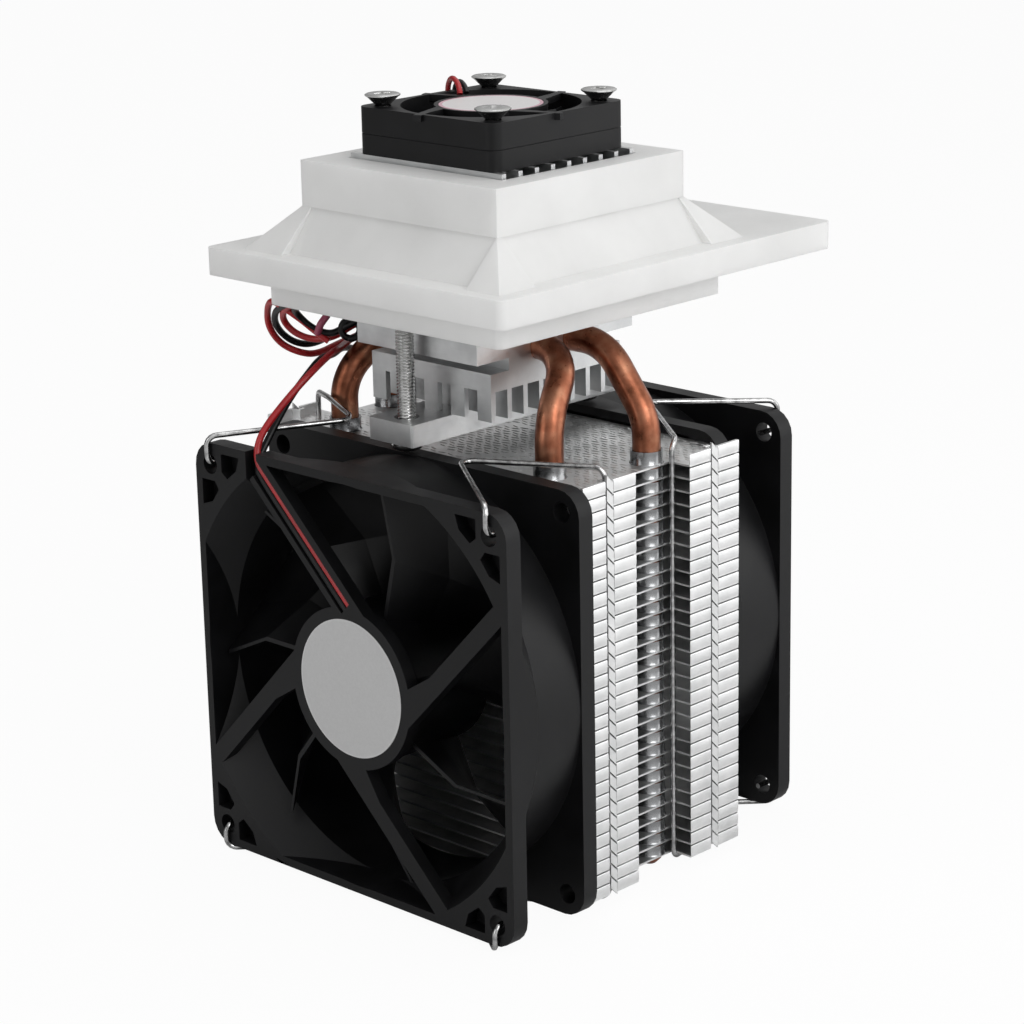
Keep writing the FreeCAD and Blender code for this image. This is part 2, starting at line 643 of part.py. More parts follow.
def eight_sided(radius, x, y):
    """An eight-sided face round a pipe."""
    spots = [Vector(x + radius * math.cos(math.pi * step / 4), y + radius * math.sin(math.pi * step / 4), 0)
             for step in range(9)]
    return Part.Face(Part.makePolygon(spots))


def clamp_bar():
    """The bar under the pins, with a clearance hole near each end."""
    blank = rounded_plate("BarBlank", "bar_width", "bar_length", "bar_thickness", "0.6")
    move(blank, z="bar_bottom")
    holes = [rod(f"BarHole{index}", "bolt_radius + 0.7", "bar_thickness + 2",
                 y=f"{side}bolt_spacing / 2", z="bar_bottom - 1") for index, side in enumerate(("-", ""))]
    return cut("Bar", blank, holes)


def clamp_bolts():
    """Two long bolts from under the bar up into the lower plate."""
    top = "plate_bottom + bolt_thread_depth"
    head = "bar_bottom - bolt_head_height"
    bolts = []
    for index, side in enumerate(("-", "")):
        bolt = turned(f"Bolt{index}", [
            ("0", head), ("bolt_head_radius - 0.4", head), ("bolt_head_radius", f"{head} + 0.4"),
            ("bolt_head_radius", "bar_bottom"), ("bolt_radius", "bar_bottom"),
            ("bolt_radius", f"{top} - 0.5"), ("bolt_radius - 0.5", top), ("0", top)])
        bolts.append(move(bolt, y=f"{side}bolt_spacing / 2"))
    return group("Bolts", bolts)


def clip(name, fan_x, side, end):
    """A wire clip: down a groove of the stack, out over and under a fan, into its corner holes."""
    wire = "clip_wire / 2 + clip_gap"
    groove_x = f"{side} * (stack_width / 2 - tab_groove + clip_wire / 2 * sqrt(2) + clip_gap)"
    groove_y = f"{end} * (stack_depth / 2 - column_width / 2)"
    hole_x = f"{fan_x} + {side} * large_hole_spacing / 2"
    face_y = f"{end} * (stack_depth / 2 + large_depth + {wire})"
    inside_y = f"{end} * (stack_depth / 2 + large_depth - large_flange - 1.5)"
    apex_x = f"{side} * 20"
    apex_y = f"{end} * (stack_depth / 2 + 4)"
    hole = "(large_side - large_hole_spacing) / 2"
    over, under = f"large_side + stack_bottom + {wire}", f"-({wire})"
    points = [(hole_x, inside_y, f"large_side - {hole}"), (hole_x, face_y, f"large_side - {hole}"),
              (hole_x, face_y, over), (apex_x, apex_y, over), (groove_x, groove_y, over),
              (groove_x, groove_y, under), (apex_x, apex_y, under), (hole_x, face_y, under),
              (hole_x, face_y, hole), (hole_x, inside_y, hole)]
    path = bent_path(place_along(points), [value("clip_bend")] * (len(points) - 2))
    return free_shape(name, swept_rod(path, value("clip_wire / 2")))


def lead(name, points, radius, axis_of_bend=None):
    """A soft lead along its route; each arc is as large as its two runs allow."""
    route = [Vector(*point) for point in points]
    radii = []
    for before, corner, after in zip(route, route[1:], route[2:]):
        runs = min((corner - before).Length, (after - corner).Length)
        half = (corner - before).getAngle(after - corner) / 2
        radii.append(0.45 * runs / math.tan(half))
    path = bent_path(route, radii)
    shape = swept_rod(path, value(radius))
    expected = math.pi * value(radius) ** 2 * path.Length
    print(f"{name}: length {path.Length:.0f}, radii {[round(r, 1) for r in radii]}, "
          f"volume ratio {shape.Volume / expected:.3f}")
    return free_shape(name, shape)


upright = Rotation(Vector(1, 0, 0), 90)
fan("large", "front_fan", "front_fan_x", "-stack_depth / 2 - large_depth", "large_side / 2", upright)
fan("large", "rear_fan", "rear_fan_x", "stack_depth / 2", "large_side / 2", upright)
fan("small", "cold_fan", "0", "0", "sink_top + small_depth")
keep(fan_screws(), "cold_fan_screws")
keep(cold_heatsink(), "cold_heatsink")
keep_square("cold_block", "ceramic_side", "cold_block_height", "wafer_top")
keep_square("cold_ceramic_plate", "ceramic_side", "ceramic_thickness", "wafer_top - ceramic_thickness")
keep_square("hot_ceramic_plate", "ceramic_side", "ceramic_thickness", "base_top + slab_thickness")
keep(pellets(), "semiconductor_pellets")
gasket_hole = box("GasketHole", "ceramic_side + 2 * window_gap", "ceramic_side + 2 * window_gap",
                  "gasket_thickness + 2", z="base_top + slab_thickness - 1")
keep(cut("Gasket", box("GasketBlank", "gasket_side", "gasket_side", "gasket_thickness",
                       z="base_top + slab_thickness"), [gasket_hole]), "foam_gasket")
keep(bulkhead_adapter(), "bulkhead_adapter")
keep(cover_plate(), "pipe_cover_plate")
keep(finned_hot_base(), "finned_hot_base")
keep(heat_pipe("inner"), "heat_pipe_inner")
keep(heat_pipe("outer"), "heat_pipe_outer")
keep(fin_stack(), "fin_stack")
keep(clamp_bar(), "clamp_bar")
keep(clamp_bolts(), "clamp_bolts")
for name, fan_x, end in (("front", "front_fan_x", -1), ("rear", "rear_fan_x", 1)):
    for hand, side in (("left", -1), ("right", 1)):
        keep(clip(f"{name}{hand}Clip", fan_x, side, end), f"{name}_{hand}_clip")

doc.recompute()

for item in doc.Objects:
    if "Invalid" in item.State or "Error" in item.State:
        raise RuntimeError(f"{item.Name} did not build: {item.State}")
for item in pieces:
    if item.Shape.isNull() or not item.Shape.isValid():
        raise RuntimeError(f"{item.Label} has no sound shape")

os.makedirs("parts", exist_ok=True)
for item in pieces:
    item.Shape.exportStep(f"parts/{item.Label}.step")
    bounds = item.Shape.BoundBox
    print(f"{item.Label}: {len(item.Shape.Solids)} solids, volume {item.Shape.Volume:.0f}, "
          f"x {bounds.XMin:.1f}..{bounds.XMax:.1f} y {bounds.YMin:.1f}..{bounds.YMax:.1f} "
          f"z {bounds.ZMin:.1f}..{bounds.ZMax:.1f}")
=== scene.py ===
import math
import bmesh
import bpy
from mathutils import Matrix, Vector


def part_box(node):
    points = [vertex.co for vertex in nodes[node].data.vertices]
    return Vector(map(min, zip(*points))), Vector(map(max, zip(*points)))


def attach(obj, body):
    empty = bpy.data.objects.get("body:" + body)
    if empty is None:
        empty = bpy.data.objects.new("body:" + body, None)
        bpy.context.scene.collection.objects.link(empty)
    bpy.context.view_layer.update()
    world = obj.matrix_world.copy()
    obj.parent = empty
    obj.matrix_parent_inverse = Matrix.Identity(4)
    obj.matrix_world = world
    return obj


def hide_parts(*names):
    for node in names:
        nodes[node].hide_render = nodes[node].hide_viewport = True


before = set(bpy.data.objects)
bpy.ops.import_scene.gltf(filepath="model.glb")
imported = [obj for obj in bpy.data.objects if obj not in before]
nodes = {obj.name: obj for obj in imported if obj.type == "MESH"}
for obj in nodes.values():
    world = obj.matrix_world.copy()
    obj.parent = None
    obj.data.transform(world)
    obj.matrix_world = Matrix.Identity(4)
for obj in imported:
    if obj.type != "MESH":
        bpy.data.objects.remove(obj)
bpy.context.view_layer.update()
scene = bpy.context.scene
mm = 0.001

# The camera looks along the photograph's line of sight. Lengths in mm, angles in degrees.
cameraView = {
    "target": (3.68, -5.35, 74.24),
    "distance": 648,
    "azimuth": 43.87,
    "elevation": 16.48,
    "roll": -1.18,
    "lens": 104.9,
}


def addCamera(view):
    turn, rise, roll = (math.radians(view[key]) for key in ("azimuth", "elevation", "roll"))
    back = Vector((math.sin(turn) * math.cos(rise), -math.cos(turn) * math.cos(rise),
                   math.sin(rise)))
    right = Vector((math.cos(turn), math.sin(turn), 0))
    up = back.cross(right)
    tiltedRight = right * math.cos(roll) + up * math.sin(roll)
    tiltedUp = up * math.cos(roll) - right * math.sin(roll)
    place = Matrix((tiltedRight, tiltedUp, back)).transposed().to_4x4()
    place.translation = (Vector(view["target"]) + back * view["distance"]) * mm
    data = bpy.data.cameras.new("productCamera")
    data.lens = view["lens"]
    data.sensor_width = 36
    data.clip_start = 0.01
    camera = bpy.data.objects.new("productCamera", data)
    scene.collection.objects.link(camera)
    camera.matrix_world = place
    scene.camera = camera


addCamera(cameraView)
print("camera placed")


# Materials. Patterns are laid out in metres on each object, so a size in mm gives a scale.
def linearColour(hexCode, alpha=1.0):
    channels = [int(hexCode[place:place + 2], 16) / 255 for place in (1, 3, 5)]
    linear = (c / 12.92 if c <= 0.04045 else ((c + 0.055) / 1.055) ** 2.4 for c in channels)
    return (*linear, alpha)


def perMetre(size):
    return 1 / (size * mm)


def grey(level):
    return (level, level, level, 1)


def addNode(tree, kind, settings=None, links=None):
    node = tree.nodes.new(kind)
    for name, setting in (settings or {}).items():
        if name == "stops":
            elements = node.color_ramp.elements
            while len(elements) < len(setting):
                elements.new(0.5)
            for element, (spot, colour) in zip(elements, setting):
                element.position = spot
                element.color = linearColour(colour) if isinstance(colour, str) else colour
        elif isinstance(name, str) and hasattr(node, name):
            setattr(node, name, setting)
        else:
            node.inputs[name].default_value = setting
    for name, source in (links or {}).items():
        tree.links.new(source, node.inputs[name])
    return node


def startMaterial(name, **sockets):
    material = bpy.data.materials.new(name)
    material.use_nodes = True
    tree = material.node_tree
    shader = tree.nodes["Principled BSDF"]
    for socket, setting in sockets.items():
        shader.inputs[socket.replace("_", " ")].default_value = setting
    place = addNode(tree, "ShaderNodeTexCoord").outputs["Object"]
    return material, tree, shader, place


def patterned(name, patterns, ramps, relief=None, **sockets):
    # patterns: size in mm, detail, stretch; ramps: pattern and stops of a socket;
    # relief: pattern, depth in mm, strength
    material, tree, shader, place = startMaterial(name, **sockets)
    heights = {}
    for pattern, (size, detail, stretch) in patterns.items():
        mapping = addNode(tree, "ShaderNodeMapping", {"Scale": stretch}, {"Vector": place})
        noise = addNode(tree, "ShaderNodeTexNoise", {"Scale": perMetre(size), "Detail": detail},
                        {"Vector": mapping.outputs["Vector"]})
        heights[pattern] = noise.outputs["Fac"]
    for socket, (pattern, stops) in ramps.items():
        ramp = addNode(tree, "ShaderNodeValToRGB", {"stops": stops}, {"Fac": heights[pattern]})
        tree.links.new(ramp.outputs["Color"], shader.inputs[socket])
    if relief:
        pattern, depth, strength = relief
        bump = addNode(tree, "ShaderNodeBump", {"Distance": depth * mm, "Strength": strength},
                       {"Height": heights[pattern]})
        tree.links.new(bump.outputs["Normal"], shader.inputs["Normal"])
    return material


even = (1, 1, 1)


# Glass-filled nylon moulded in a spark-eroded tool: near black, satin, with a fine grain,
# which is drawn coarser than it is so that it shows.
def mouldedBlackNylon(name, dark, light, satin):
    return patterned(
        name, {"cloud": (9, 4, even), "grain": (0.35, 2, even)},
        {"Base Color": ("cloud", [(0.3, dark), (0.75, light)]),
         "Roughness": ("cloud", [(0.25, grey(satin)), (0.8, grey(satin + 0.14))])},
        ("grain", 0.012, 0.5), IOR=1.5, Specular_IOR_Level=0.26)


# Rolled aluminium strip: bright, with faint rolling lines that run along the strip, drawn
# coarser than they are so that they show.
def rolledAluminium(name, dark, light, satin):
    return patterned(
        name, {"lines": (1.2, 4, (0.12, 0.12, 1)), "stain": (6, 3, even)},
        {"Base Color": ("stain", [(0.3, dark), (0.7, light)]),
         "Roughness": ("lines", [(0.3, grey(satin)), (0.7, grey(satin + 0.14))])},
        ("lines", 0.03, 0.4), Metallic=1.0)


# Extruded and milled aluminium: paler and duller than the strip, with fine tool lines.
def milledAluminium(name, alongCut):
    return patterned(
        name, {"lines": (0.5, 4, alongCut), "stain": (7, 3, even)},
        {"Base Color": ("stain", [(0.3, "#c2c3c4"), (0.75, "#dcdddd")]),
         "Roughness": ("lines", [(0.3, grey(0.3)), (0.7, grey(0.48))])},
        ("lines", 0.02, 0.5), Metallic=1.0)


# Drawn copper tube, wire-brushed and a little tarnished: warm, mottled, with soft highlights.
def brushedCopper(name):
    return patterned(
        name, {"mottle": (5, 5, even), "brush": (0.6, 3, (1, 1, 0.25))},
        {"Base Color": ("mottle", [(0.25, "#58301f"), (0.5, "#945c45"), (0.75, "#b98468")]),
         "Roughness": ("brush", [(0.3, grey(0.26)), (0.7, grey(0.42))])},
        ("brush", 0.03, 0.4), Metallic=1.0)


# Frosted polypropylene, cast and sawn: milky, lets light in, dull and faintly cloudy.
def frostedPolypropylene(name):
    lightReach = 6 * mm
    return patterned(
        name, {"cloud": (26, 4, even), "scuff": (0.8, 3, even)},
        {"Base Color": ("cloud", [(0.3, "#e3e3e2"), (0.7, "#f0f0ef")]),
         "Roughness": ("scuff", [(0.3, grey(0.42)), (0.7, grey(0.56))])},
        ("scuff", 0.015, 0.35), IOR=1.49, Subsurface_Weight=0.55,
        Subsurface_Radius=(lightReach,) * 3, Subsurface_Scale=1.0)


# Plated steel: grey and hard, mirror-like in streaks.
def platedSteel(name, tone, satin):
    return patterned(
        name, {"streak": (1.5, 3, even)},
        {"Base Color": ("streak", [(0.3, tone), (0.8, "#e2e2e2")]),
         "Roughness": ("streak", [(0.3, grey(satin)), (0.8, grey(satin + 0.14))])}, Metallic=1.0)


# Soft PVC insulation, extruded: even colour, satin, with a faint waviness along the wire.
def softPvc(name, dark, light, gloss=0.5):
    return patterned(
        name, {"cloud": (6, 3, even), "skin": (0.9, 2, even)},
        {"Base Color": ("cloud", [(0.3, dark), (0.75, light)]),
         "Roughness": ("skin", [(0.3, grey(0.3)), (0.75, grey(0.42))])},
        ("skin", 0.02, 0.4), IOR=1.53, Specular_IOR_Level=gloss)


# Pressed, sintered, foamed or varnished stock, all of it hidden: dull, with fine specks.
def speckled(name, dark, light, size, roughness, metallic=0.0):
    return patterned(
        name, {"speck": (size, 3, even)}, {"Base Color": ("speck", [(0.35, dark), (0.65, light)])},
        ("speck", 0.02, 0.4), Roughness=roughness, Metallic=metallic)


# Coated paper label: light grey, satin, with a narrow border of another tone round the rim.
def paperLabel(name, middle, radius, border, face, rim, across):
    fibreSize, fibreDepth = 0.5, 0.004
    material, tree, shader, place = startMaterial(name, Roughness=0.42, IOR=1.45)
    centred = addNode(tree, "ShaderNodeVectorMath", {"operation": "SUBTRACT", 1: middle},
                      {0: place})
    flat = addNode(tree, "ShaderNodeVectorMath", {"operation": "MULTIPLY", 1: across},
                   {0: centred.outputs["Vector"]})
    reach = addNode(tree, "ShaderNodeVectorMath", {"operation": "LENGTH"},
                    {0: flat.outputs["Vector"]})
    share = addNode(tree, "ShaderNodeMath", {"operation": "DIVIDE", 1: radius},
                    {0: reach.outputs["Value"]})
    edge = 1 - border * mm / radius
    fibre = addNode(tree, "ShaderNodeTexNoise", {"Scale": perMetre(fibreSize), "Detail": 3},
                    {"Vector": place}).outputs["Fac"]
    rings = addNode(tree, "ShaderNodeValToRGB", {"stops": [(edge - 0.01, face), (edge, rim)]},
                    {"Fac": share.outputs["Value"]})
    tint = addNode(tree, "ShaderNodeValToRGB", {"stops": [(0.3, grey(0.94)), (0.7, grey(1.0))]},
                   {"Fac": fibre})
    multiply = {"data_type": "RGBA", "blend_type": "MULTIPLY", "Factor": 1.0}
    mix = addNode(tree, "ShaderNodeMix", multiply,
                  {6: rings.outputs["Color"], 7: tint.outputs["Color"]})
    bump = addNode(tree, "ShaderNodeBump", {"Distance": fibreDepth * mm, "Strength": 0.3},
                   {"Height": fibre})
    tree.links.new(mix.outputs[2], shader.inputs["Base Color"])
    tree.links.new(bump.outputs["Normal"], shader.inputs["Normal"])
    return material


def dress(material, *names):
    for name in names:
        slots = nodes[name].data.materials
        if not slots:
            slots.append(material)
        for index in range(len(slots)):
            slots[index] = material


def labelFor(fan, radius, face, rim, border, across):
    low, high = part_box(fan + "_label")
    return paperLabel(fan + "LabelPaper", (low + high) / 2, radius, border, face, rim, across)


frameNylon = mouldedBlackNylon("mouldedFrameNylon", "#09090a", "#121214", 0.4)
rotorNylon = mouldedBlackNylon("mouldedRotorNylon", "#070708", "#0f0f11", 0.34)
finStrip = rolledAluminium("rolledFinAluminium", "#dfe0e0", "#f2f2f2", 0.34)
# The collar sleeves are the fins' own aluminium, given a darker tone as painted shade for the
# sleeves deep in the recess between the fins; the lower roughness narrows their highlight.
collarStripPaintedShade = rolledAluminium("collarAluminiumPaintedShade", "#7b7c7e", "#9a9b9c", 0.16)
sawnBase = milledAluminium("extrudedBaseAluminium", (0.1, 1, 1))
sawnBar = milledAluminium("sawnBarAluminium", (1, 0.12, 1))
copper = brushedCopper("brushedCopperTube")
plastic = frostedPolypropylene("frostedPolypropylene")
boltSteel = platedSteel("zincPlatedBoltSteel", "#c0c0be", 0.12)
screwSteel = platedSteel("nickelPlatedScrewSteel", "#b4b4b2", 0.16)
# The spring wire's plating gets a darker tone than the bolts' as painted shade, to dim the wire
# where it runs down into the recess.
clipWirePaintedShade = platedSteel("platedSpringWirePaintedShade", "#828282", 0.1)
dress(frameNylon, "front_fan_frame", "rear_fan_frame", "cold_fan_frame")
dress(rotorNylon, "front_fan_rotor", "rear_fan_rotor", "cold_fan_rotor")
dress(finStrip, "fin_stack")
dress(sawnBase, "finned_hot_base", "pipe_cover_plate", "cold_heatsink", "cold_block")
dress(sawnBar, "clamp_bar")
dress(copper, "heat_pipe_inner", "heat_pipe_outer")
dress(plastic, "bulkhead_adapter")
dress(boltSteel, "clamp_bolts")
dress(screwSteel, "cold_fan_screws")
dress(clipWirePaintedShade, "front_left_clip", "front_right_clip", "rear_left_clip", "rear_right_clip")
for fanName in ("front_fan", "rear_fan"):
    dress(labelFor(fanName, 15 * mm, "#c5c5c5", "#cecece", 0.3, (1, 0, 1)), fanName + "_label")
dress(labelFor("cold_fan", 11 * mm, "#efecec", "#deb4c0", 0.7, (1, 1, 0)), "cold_fan_label")
dress(speckled("varnishedCoreSteel", "#5a3a1c", "#8a5a2b", 1.2, 0.45, 0.4),
      "front_fan_stator", "rear_fan_stator", "cold_fan_stator")
dress(speckled("sinteredBronze", "#8f6a3c", "#b08850", 0.4, 0.5, 0.9),
      "front_fan_bearing", "rear_fan_bearing", "cold_fan_bearing")
dress(speckled("mouldedFerrite", "#232326", "#34343a", 0.5, 0.6),
      "front_fan_magnet", "rear_fan_magnet", "cold_fan_magnet")
dress(platedSteel("groundShaftSteel", "#b8b8b8", 0.12),
      "front_fan_shaft", "rear_fan_shaft", "cold_fan_shaft")
dress(speckled("firedAlumina", "#e6e6e0", "#f4f4f0", 0.8, 0.55),
      "cold_ceramic_plate", "hot_ceramic_plate")
dress(speckled("sinteredPelletAlloy", "#6a6a70", "#8c8c92", 0.4, 0.4, 0.8),
      "semiconductor_pellets")
dress(speckled("closedCellFoam", "#c9c9c6", "#dededb", 0.6, 0.85), "foam_gasket")
print("materials assigned")


# Shapes are drawn in mm about the middle of the fin stack, with z zero under the large fans.
toPart = Matrix.Scale(mm, 4) @ Matrix.Translation((0.5, -5.85, 1.3))
past = 1  # how far a cutter runs past the face that it cuts
lap = 0.01  # how far joined solids run into each other


def ring(radius, height, x=0, y=0, sides=48):
    return [(x + radius * math.cos(2 * math.pi * step / sides),
             y + radius * math.sin(2 * math.pi * step / sides), height) for step in range(sides)]


def roundedRectangle(low, high, radius, height, steps=5):
    corners = ((high[0], high[1], 0), (low[0], high[1], 90), (low[0], low[1], 180),
               (high[0], low[1], 270))
    points = []
    for x, y, start in corners:
        middleX = x - math.copysign(radius, x - (low[0] + high[0]) / 2)
        middleY = y - math.copysign(radius, y - (low[1] + high[1]) / 2)
        for step in range(steps + 1):
            angle = math.radians(start + 90 * step / steps)
            points.append((middleX + radius * math.cos(angle), middleY + radius * math.sin(angle),
                           height))
    return points


def newPiece(build):
    bmesh.ops.recalc_face_normals(build, faces=build.faces)
    mesh = bpy.data.meshes.new("shape")
    build.to_mesh(mesh)
    build.free()
    piece = bpy.data.objects.new("shape", mesh)
    scene.collection.objects.link(piece)
    return piece


def loft(rings, build=None):
    own = build is None
    build = build or bmesh.new()
    rows = [[build.verts.new(spot) for spot in row] for row in rings]
    for low, high in zip(rows, rows[1:]):
        for index in range(len(low)):
            after = (index + 1) % len(low)
            build.faces.new((low[index], low[after], high[after], high[index]))
    build.faces.new(rows[0][::-1])
    build.faces.new(rows[-1])
    return newPiece(build) if own else None


def prism(outline, low, high, build=None):
    return loft([[(x, y, low) for x, y in outline], [(x, y, high) for x, y in outline]], build)


def rod(radius, low, high, x=0, y=0, top=None, sides=48):
    return loft([ring(radius, low, x, y, sides), ring(top or radius, high, x, y, sides)])


def plate(low, high, radius, bottom, top):
    return loft([roundedRectangle(low, high, radius, height) for height in (bottom, top)])


def block(low, high):
    outline = [(low[0], low[1]), (high[0], low[1]), (high[0], high[1]), (low[0], high[1])]
    return prism(outline, low[2], high[2])


def combine(base, tools, operation):
    helpers = bpy.data.collections.new("cutters")
    scene.collection.children.link(helpers)
    for tool in tools:
        helpers.objects.link(tool)
    change = base.modifiers.new("combine", "BOOLEAN")
    change.operation = operation
    change.operand_type = "COLLECTION"
    change.collection = helpers
    change.solver = "EXACT"
    graph = bpy.context.evaluated_depsgraph_get()
    base.data = bpy.data.meshes.new_from_object(base.evaluated_get(graph))
    base.modifiers.clear()
    for tool in tools:
        bpy.data.objects.remove(tool)
    bpy.data.collections.remove(helpers)
    return base


def keepPiece(piece, name, material, replaced=(), turn=None, rounding=0.0, sharp=32, body="root"):
    piece.name = name
    piece.data.name = name
    piece.data.transform(toPart @ turn if turn else toPart)
    piece.data.materials.clear()
    piece.data.materials.append(material)
    if rounding:
        bevel = piece.modifiers.new("roundedEdges", "BEVEL")
        bevel.width = rounding * mm
        bevel.segments = 2
        bevel.limit_method = "ANGLE"
        bevel.angle_limit = math.radians(40)
        bevel.harden_normals = True
    piece.data.polygons.foreach_set("use_smooth", [True] * len(piece.data.polygons))
    piece.data.set_sharp_from_angle(angle=math.radians(sharp))
    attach(piece, body)
    if replaced:
        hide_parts(*replaced)
    return piece


# Moulded fan frames: face at z zero, depth below it, about the fan's own axis.
largeFan = {
    "half": 46, "depth": 25, "flange": 4, "corner": 5.5, "holeSpot": 41.25, "hole": 2.15,
    "bore": 44.3, "duct": 45.8, "ductInset": 0.5, "disc": 17.6, "strutDepth": 3, "strutWidth": 4,
    "strutTurn": 46, "strutOffset": 13.5, "strutRoot": 4, "strutReach": 48.5,
    "label": 15.1, "labelSeat": 0.3,
    "flare": 50, "flareDepth": 8, "flareHalf": 44.1, "flareWall": 2,
    "notch": {"x": -28.1, "width": 3.4, "floor": 39, "depth": 7},
    "channel": {"start": 12.5, "end": 50, "offset": 12, "width": 3.4, "depth": 1.8, "cheeks": 3},
    "pocketDepth": 3.2, "pocket": [(37.7, 44.1), (32, 44.1), (33, 41.1), (36, 38.8), (37.7, 40.1)],
}
smallFan = {
    "half": 20, "depth": 10, "corner": 2.6, "bore": 19, "holeSpot": 16, "hole": 1.8, "disc": 12,
    "strutDepth": 1.4, "strutWidth": 1.8, "strutTurn": 20, "strutOffset": 8, "strutRoot": 2,
    "strutReach": 19.4, "label": 11.1, "labelSeat": 0.3, "seam": 5.6, "seamEdge": 0.12,
}


def strutBar(start, end, offset, width, turn, low, high):
    along = Vector((math.cos(turn), math.sin(turn)))
    aside = Vector((math.sin(turn), -math.cos(turn)))
    left, right = offset - width / 2, offset + width / 2
    spots = ((start, left), (end, left), (end, right), (start, right))
    return prism([tuple(along * reach + aside * shift) for reach, shift in spots], low, high)


def motorMount(fan):
    # four struts, each set off to one side and widened where it meets the disc
    deep = -fan["strutDepth"]
    near = fan["strutWidth"] / 2 - fan["strutOffset"]
    far = near - fan["strutWidth"]
    widened = near + fan["strutRoot"]
    rootEnd, rootMiddle = fan["disc"] * 1.25, fan["disc"] * 0.8
    shape = [(0, far), (fan["strutReach"], far), (fan["strutReach"], near), (rootEnd, near),
             (rootMiddle, (near + widened) / 2), (0, widened)]
    pieces = [rod(fan["disc"], deep, 0, sides=72)]
    for quarter in range(4):
        turn = Matrix.Rotation(math.radians(fan["strutTurn"] + 90 * quarter), 2)
        pieces.append(prism([tuple(turn @ Vector(spot)) for spot in shape], deep, 0))
    return pieces


def cornerHoles(fan):
    spot = fan["holeSpot"]
    return [rod(fan["hole"], -fan["depth"] - past, past, x * spot, y * spot, sides=28)
            for x in (-1, 1) for y in (-1, 1)]


def cornerPockets(fan):
    pockets = []
    for x in (-1, 1):
        for y in (-1, 1):
            for swapped in (False, True):
                shape = [(b, a) if swapped else (a, b) for a, b in fan["pocket"]]
                pockets.append(prism([(x * a, y * b) for a, b in shape], -fan["pocketDepth"], past))
    return pockets


def flare(fan, wall, half, top):
    cone = rod(fan["bore"] + wall, -fan["flareDepth"], top, top=fan["flare"] + wall, sides=120)
    square = block((-half, -half, -fan["flareDepth"] - past), (half, half, past))
    return combine(cone, [square], "INTERSECT")


def labelSeat(fan):
    return rod(fan["label"], -fan["labelSeat"], past, sides=72)


def largeFanFrame(fan):
    half, depth, inset = fan["half"], fan["depth"], fan["ductInset"]
    low, high = (-half, -half), (half, half)
    shell = plate(low, high, fan["corner"], -fan["flange"], 0)
    rear = plate(low, high, fan["corner"], -depth, -depth + fan["flange"])
    duct = rod(fan["duct"], -depth + inset, -inset, sides=120)
    combine(shell, [rear, duct, flare(fan, fan["flareWall"], half, 0)], "UNION")
    notch, channel = fan["notch"], fan["channel"]
    left, right = (notch["x"] + side * notch["width"] / 2 for side in (-1, 1))
    cutters = [rod(fan["bore"], -depth - past, past, sides=120),
               flare(fan, 0, fan["flareHalf"], lap),
               block((left, notch["floor"], -notch["depth"]), (right, half + past, past))]
    combine(shell, cutters + cornerPockets(fan) + cornerHoles(fan), "DIFFERENCE")
    turn = math.radians(fan["strutTurn"] + 90)
    offset, width = channel["offset"], channel["width"]
    cheeks = strutBar(0, fan["strutReach"], offset, width + channel["cheeks"], turn,
                      -fan["strutDepth"], 0)
    combine(shell, motorMount(fan) + [cheeks], "UNION")
    groove = strutBar(channel["start"], channel["end"], offset, width, turn,
                      -channel["depth"], past)
    return combine(shell, [groove, labelSeat(fan)], "DIFFERENCE")


def smallFanFrame(fan):
    half, depth, seam, edge = fan["half"], fan["depth"], -fan["seam"], fan["seamEdge"]
    levels = ((-depth, 0), (seam - edge, 0), (seam, edge), (seam + edge, 0), (0, 0))
    shell = loft([roundedRectangle((-half + inset, -half + inset), (half - inset, half - inset),
                                   fan["corner"], height) for height, inset in levels])
    bore = rod(fan["bore"], -depth - past, past, sides=96)
    combine(shell, [bore] + cornerHoles(fan), "DIFFERENCE")
    combine(shell, motorMount(fan), "UNION")
    return combine(shell, [labelSeat(fan)], "DIFFERENCE")


upright = Matrix.Rotation(math.radians(90), 4, "X")
for end, spot in (("front", (3.5, -49.5, 46)), ("rear", (-4.5, 24.5, 46))):
    keepPiece(largeFanFrame(largeFan), end + "FanFrame", frameNylon, [end + "_fan_frame"],
              Matrix.Translation(spot) @ upright, rounding=0.35)
keepPiece(smallFanFrame(smallFan), "coldFanFrame", frameNylon, ["cold_fan_frame"],
          Matrix.Translation((0, 0, 161.8)), rounding=0.2)
print("fan frames built")


# Fin stack: each fin is folded down at both sides, and the folds lock into one another.
finStack = {
    "halfWidth": 47, "halfDepth": 24.5, "column": 16, "groove": (1.25, 0.75, 1.9), "recess": 5.3,
    "bottom": 1.5, "pitch": 2.92, "sheet": 0.4, "seam": 0.32, "count": 31,
    "wall": 0.8, "foldFoot": (0.05, 0.3), "foldHead": (0.08, 0.25),
    "finger": {"left": -0.75, "right": 1.2, "front": 0.08, "back": 0.5, "drop": 0.95, "gap": 0.45},
    "legs": [(30.5, -16.5), (-30.5, -16.5), (38.3, 4.8), (-38.3, 4.8)], "pipeHole": 3.1,
    "collar": 3.45, "collarFoot": (0.25, 0.3), "collarHeight": 2.2, "collarTop": 92.4,
    "collarSides": 24,
}
topRibs = {
    "rows": 33, "columns": 35, "start": (-44.5, -22.6), "step": (2.6, 1.42), "stagger": 1.3,
    "profile": [(-1.05, 0.15, 0.02), (-0.5, 0.38, 0.13), (0.5, 0.38, 0.13), (1.05, 0.15, 0.02)],
    "bend": 0.22, "sunk": 0.05,
    "legClear": 5, "ringMiddle": (1.5, -2.5), "ringRadius": 13, "ringHalf": 0.9,
    "recess": (40, 9.5), "reach": 45,
}


def columnOutline(stack, inset):
    face, back = stack["halfWidth"] - inset, -stack["halfDepth"]
    middle = back + stack["column"] / 2
    side = back + stack["column"] - inset
    wide, narrow, floor = stack["groove"]
    return [(face, back), (face, middle - wide), (face - floor, middle - narrow),
            (face - floor, middle + narrow), (face, middle + wide), (face, side)]


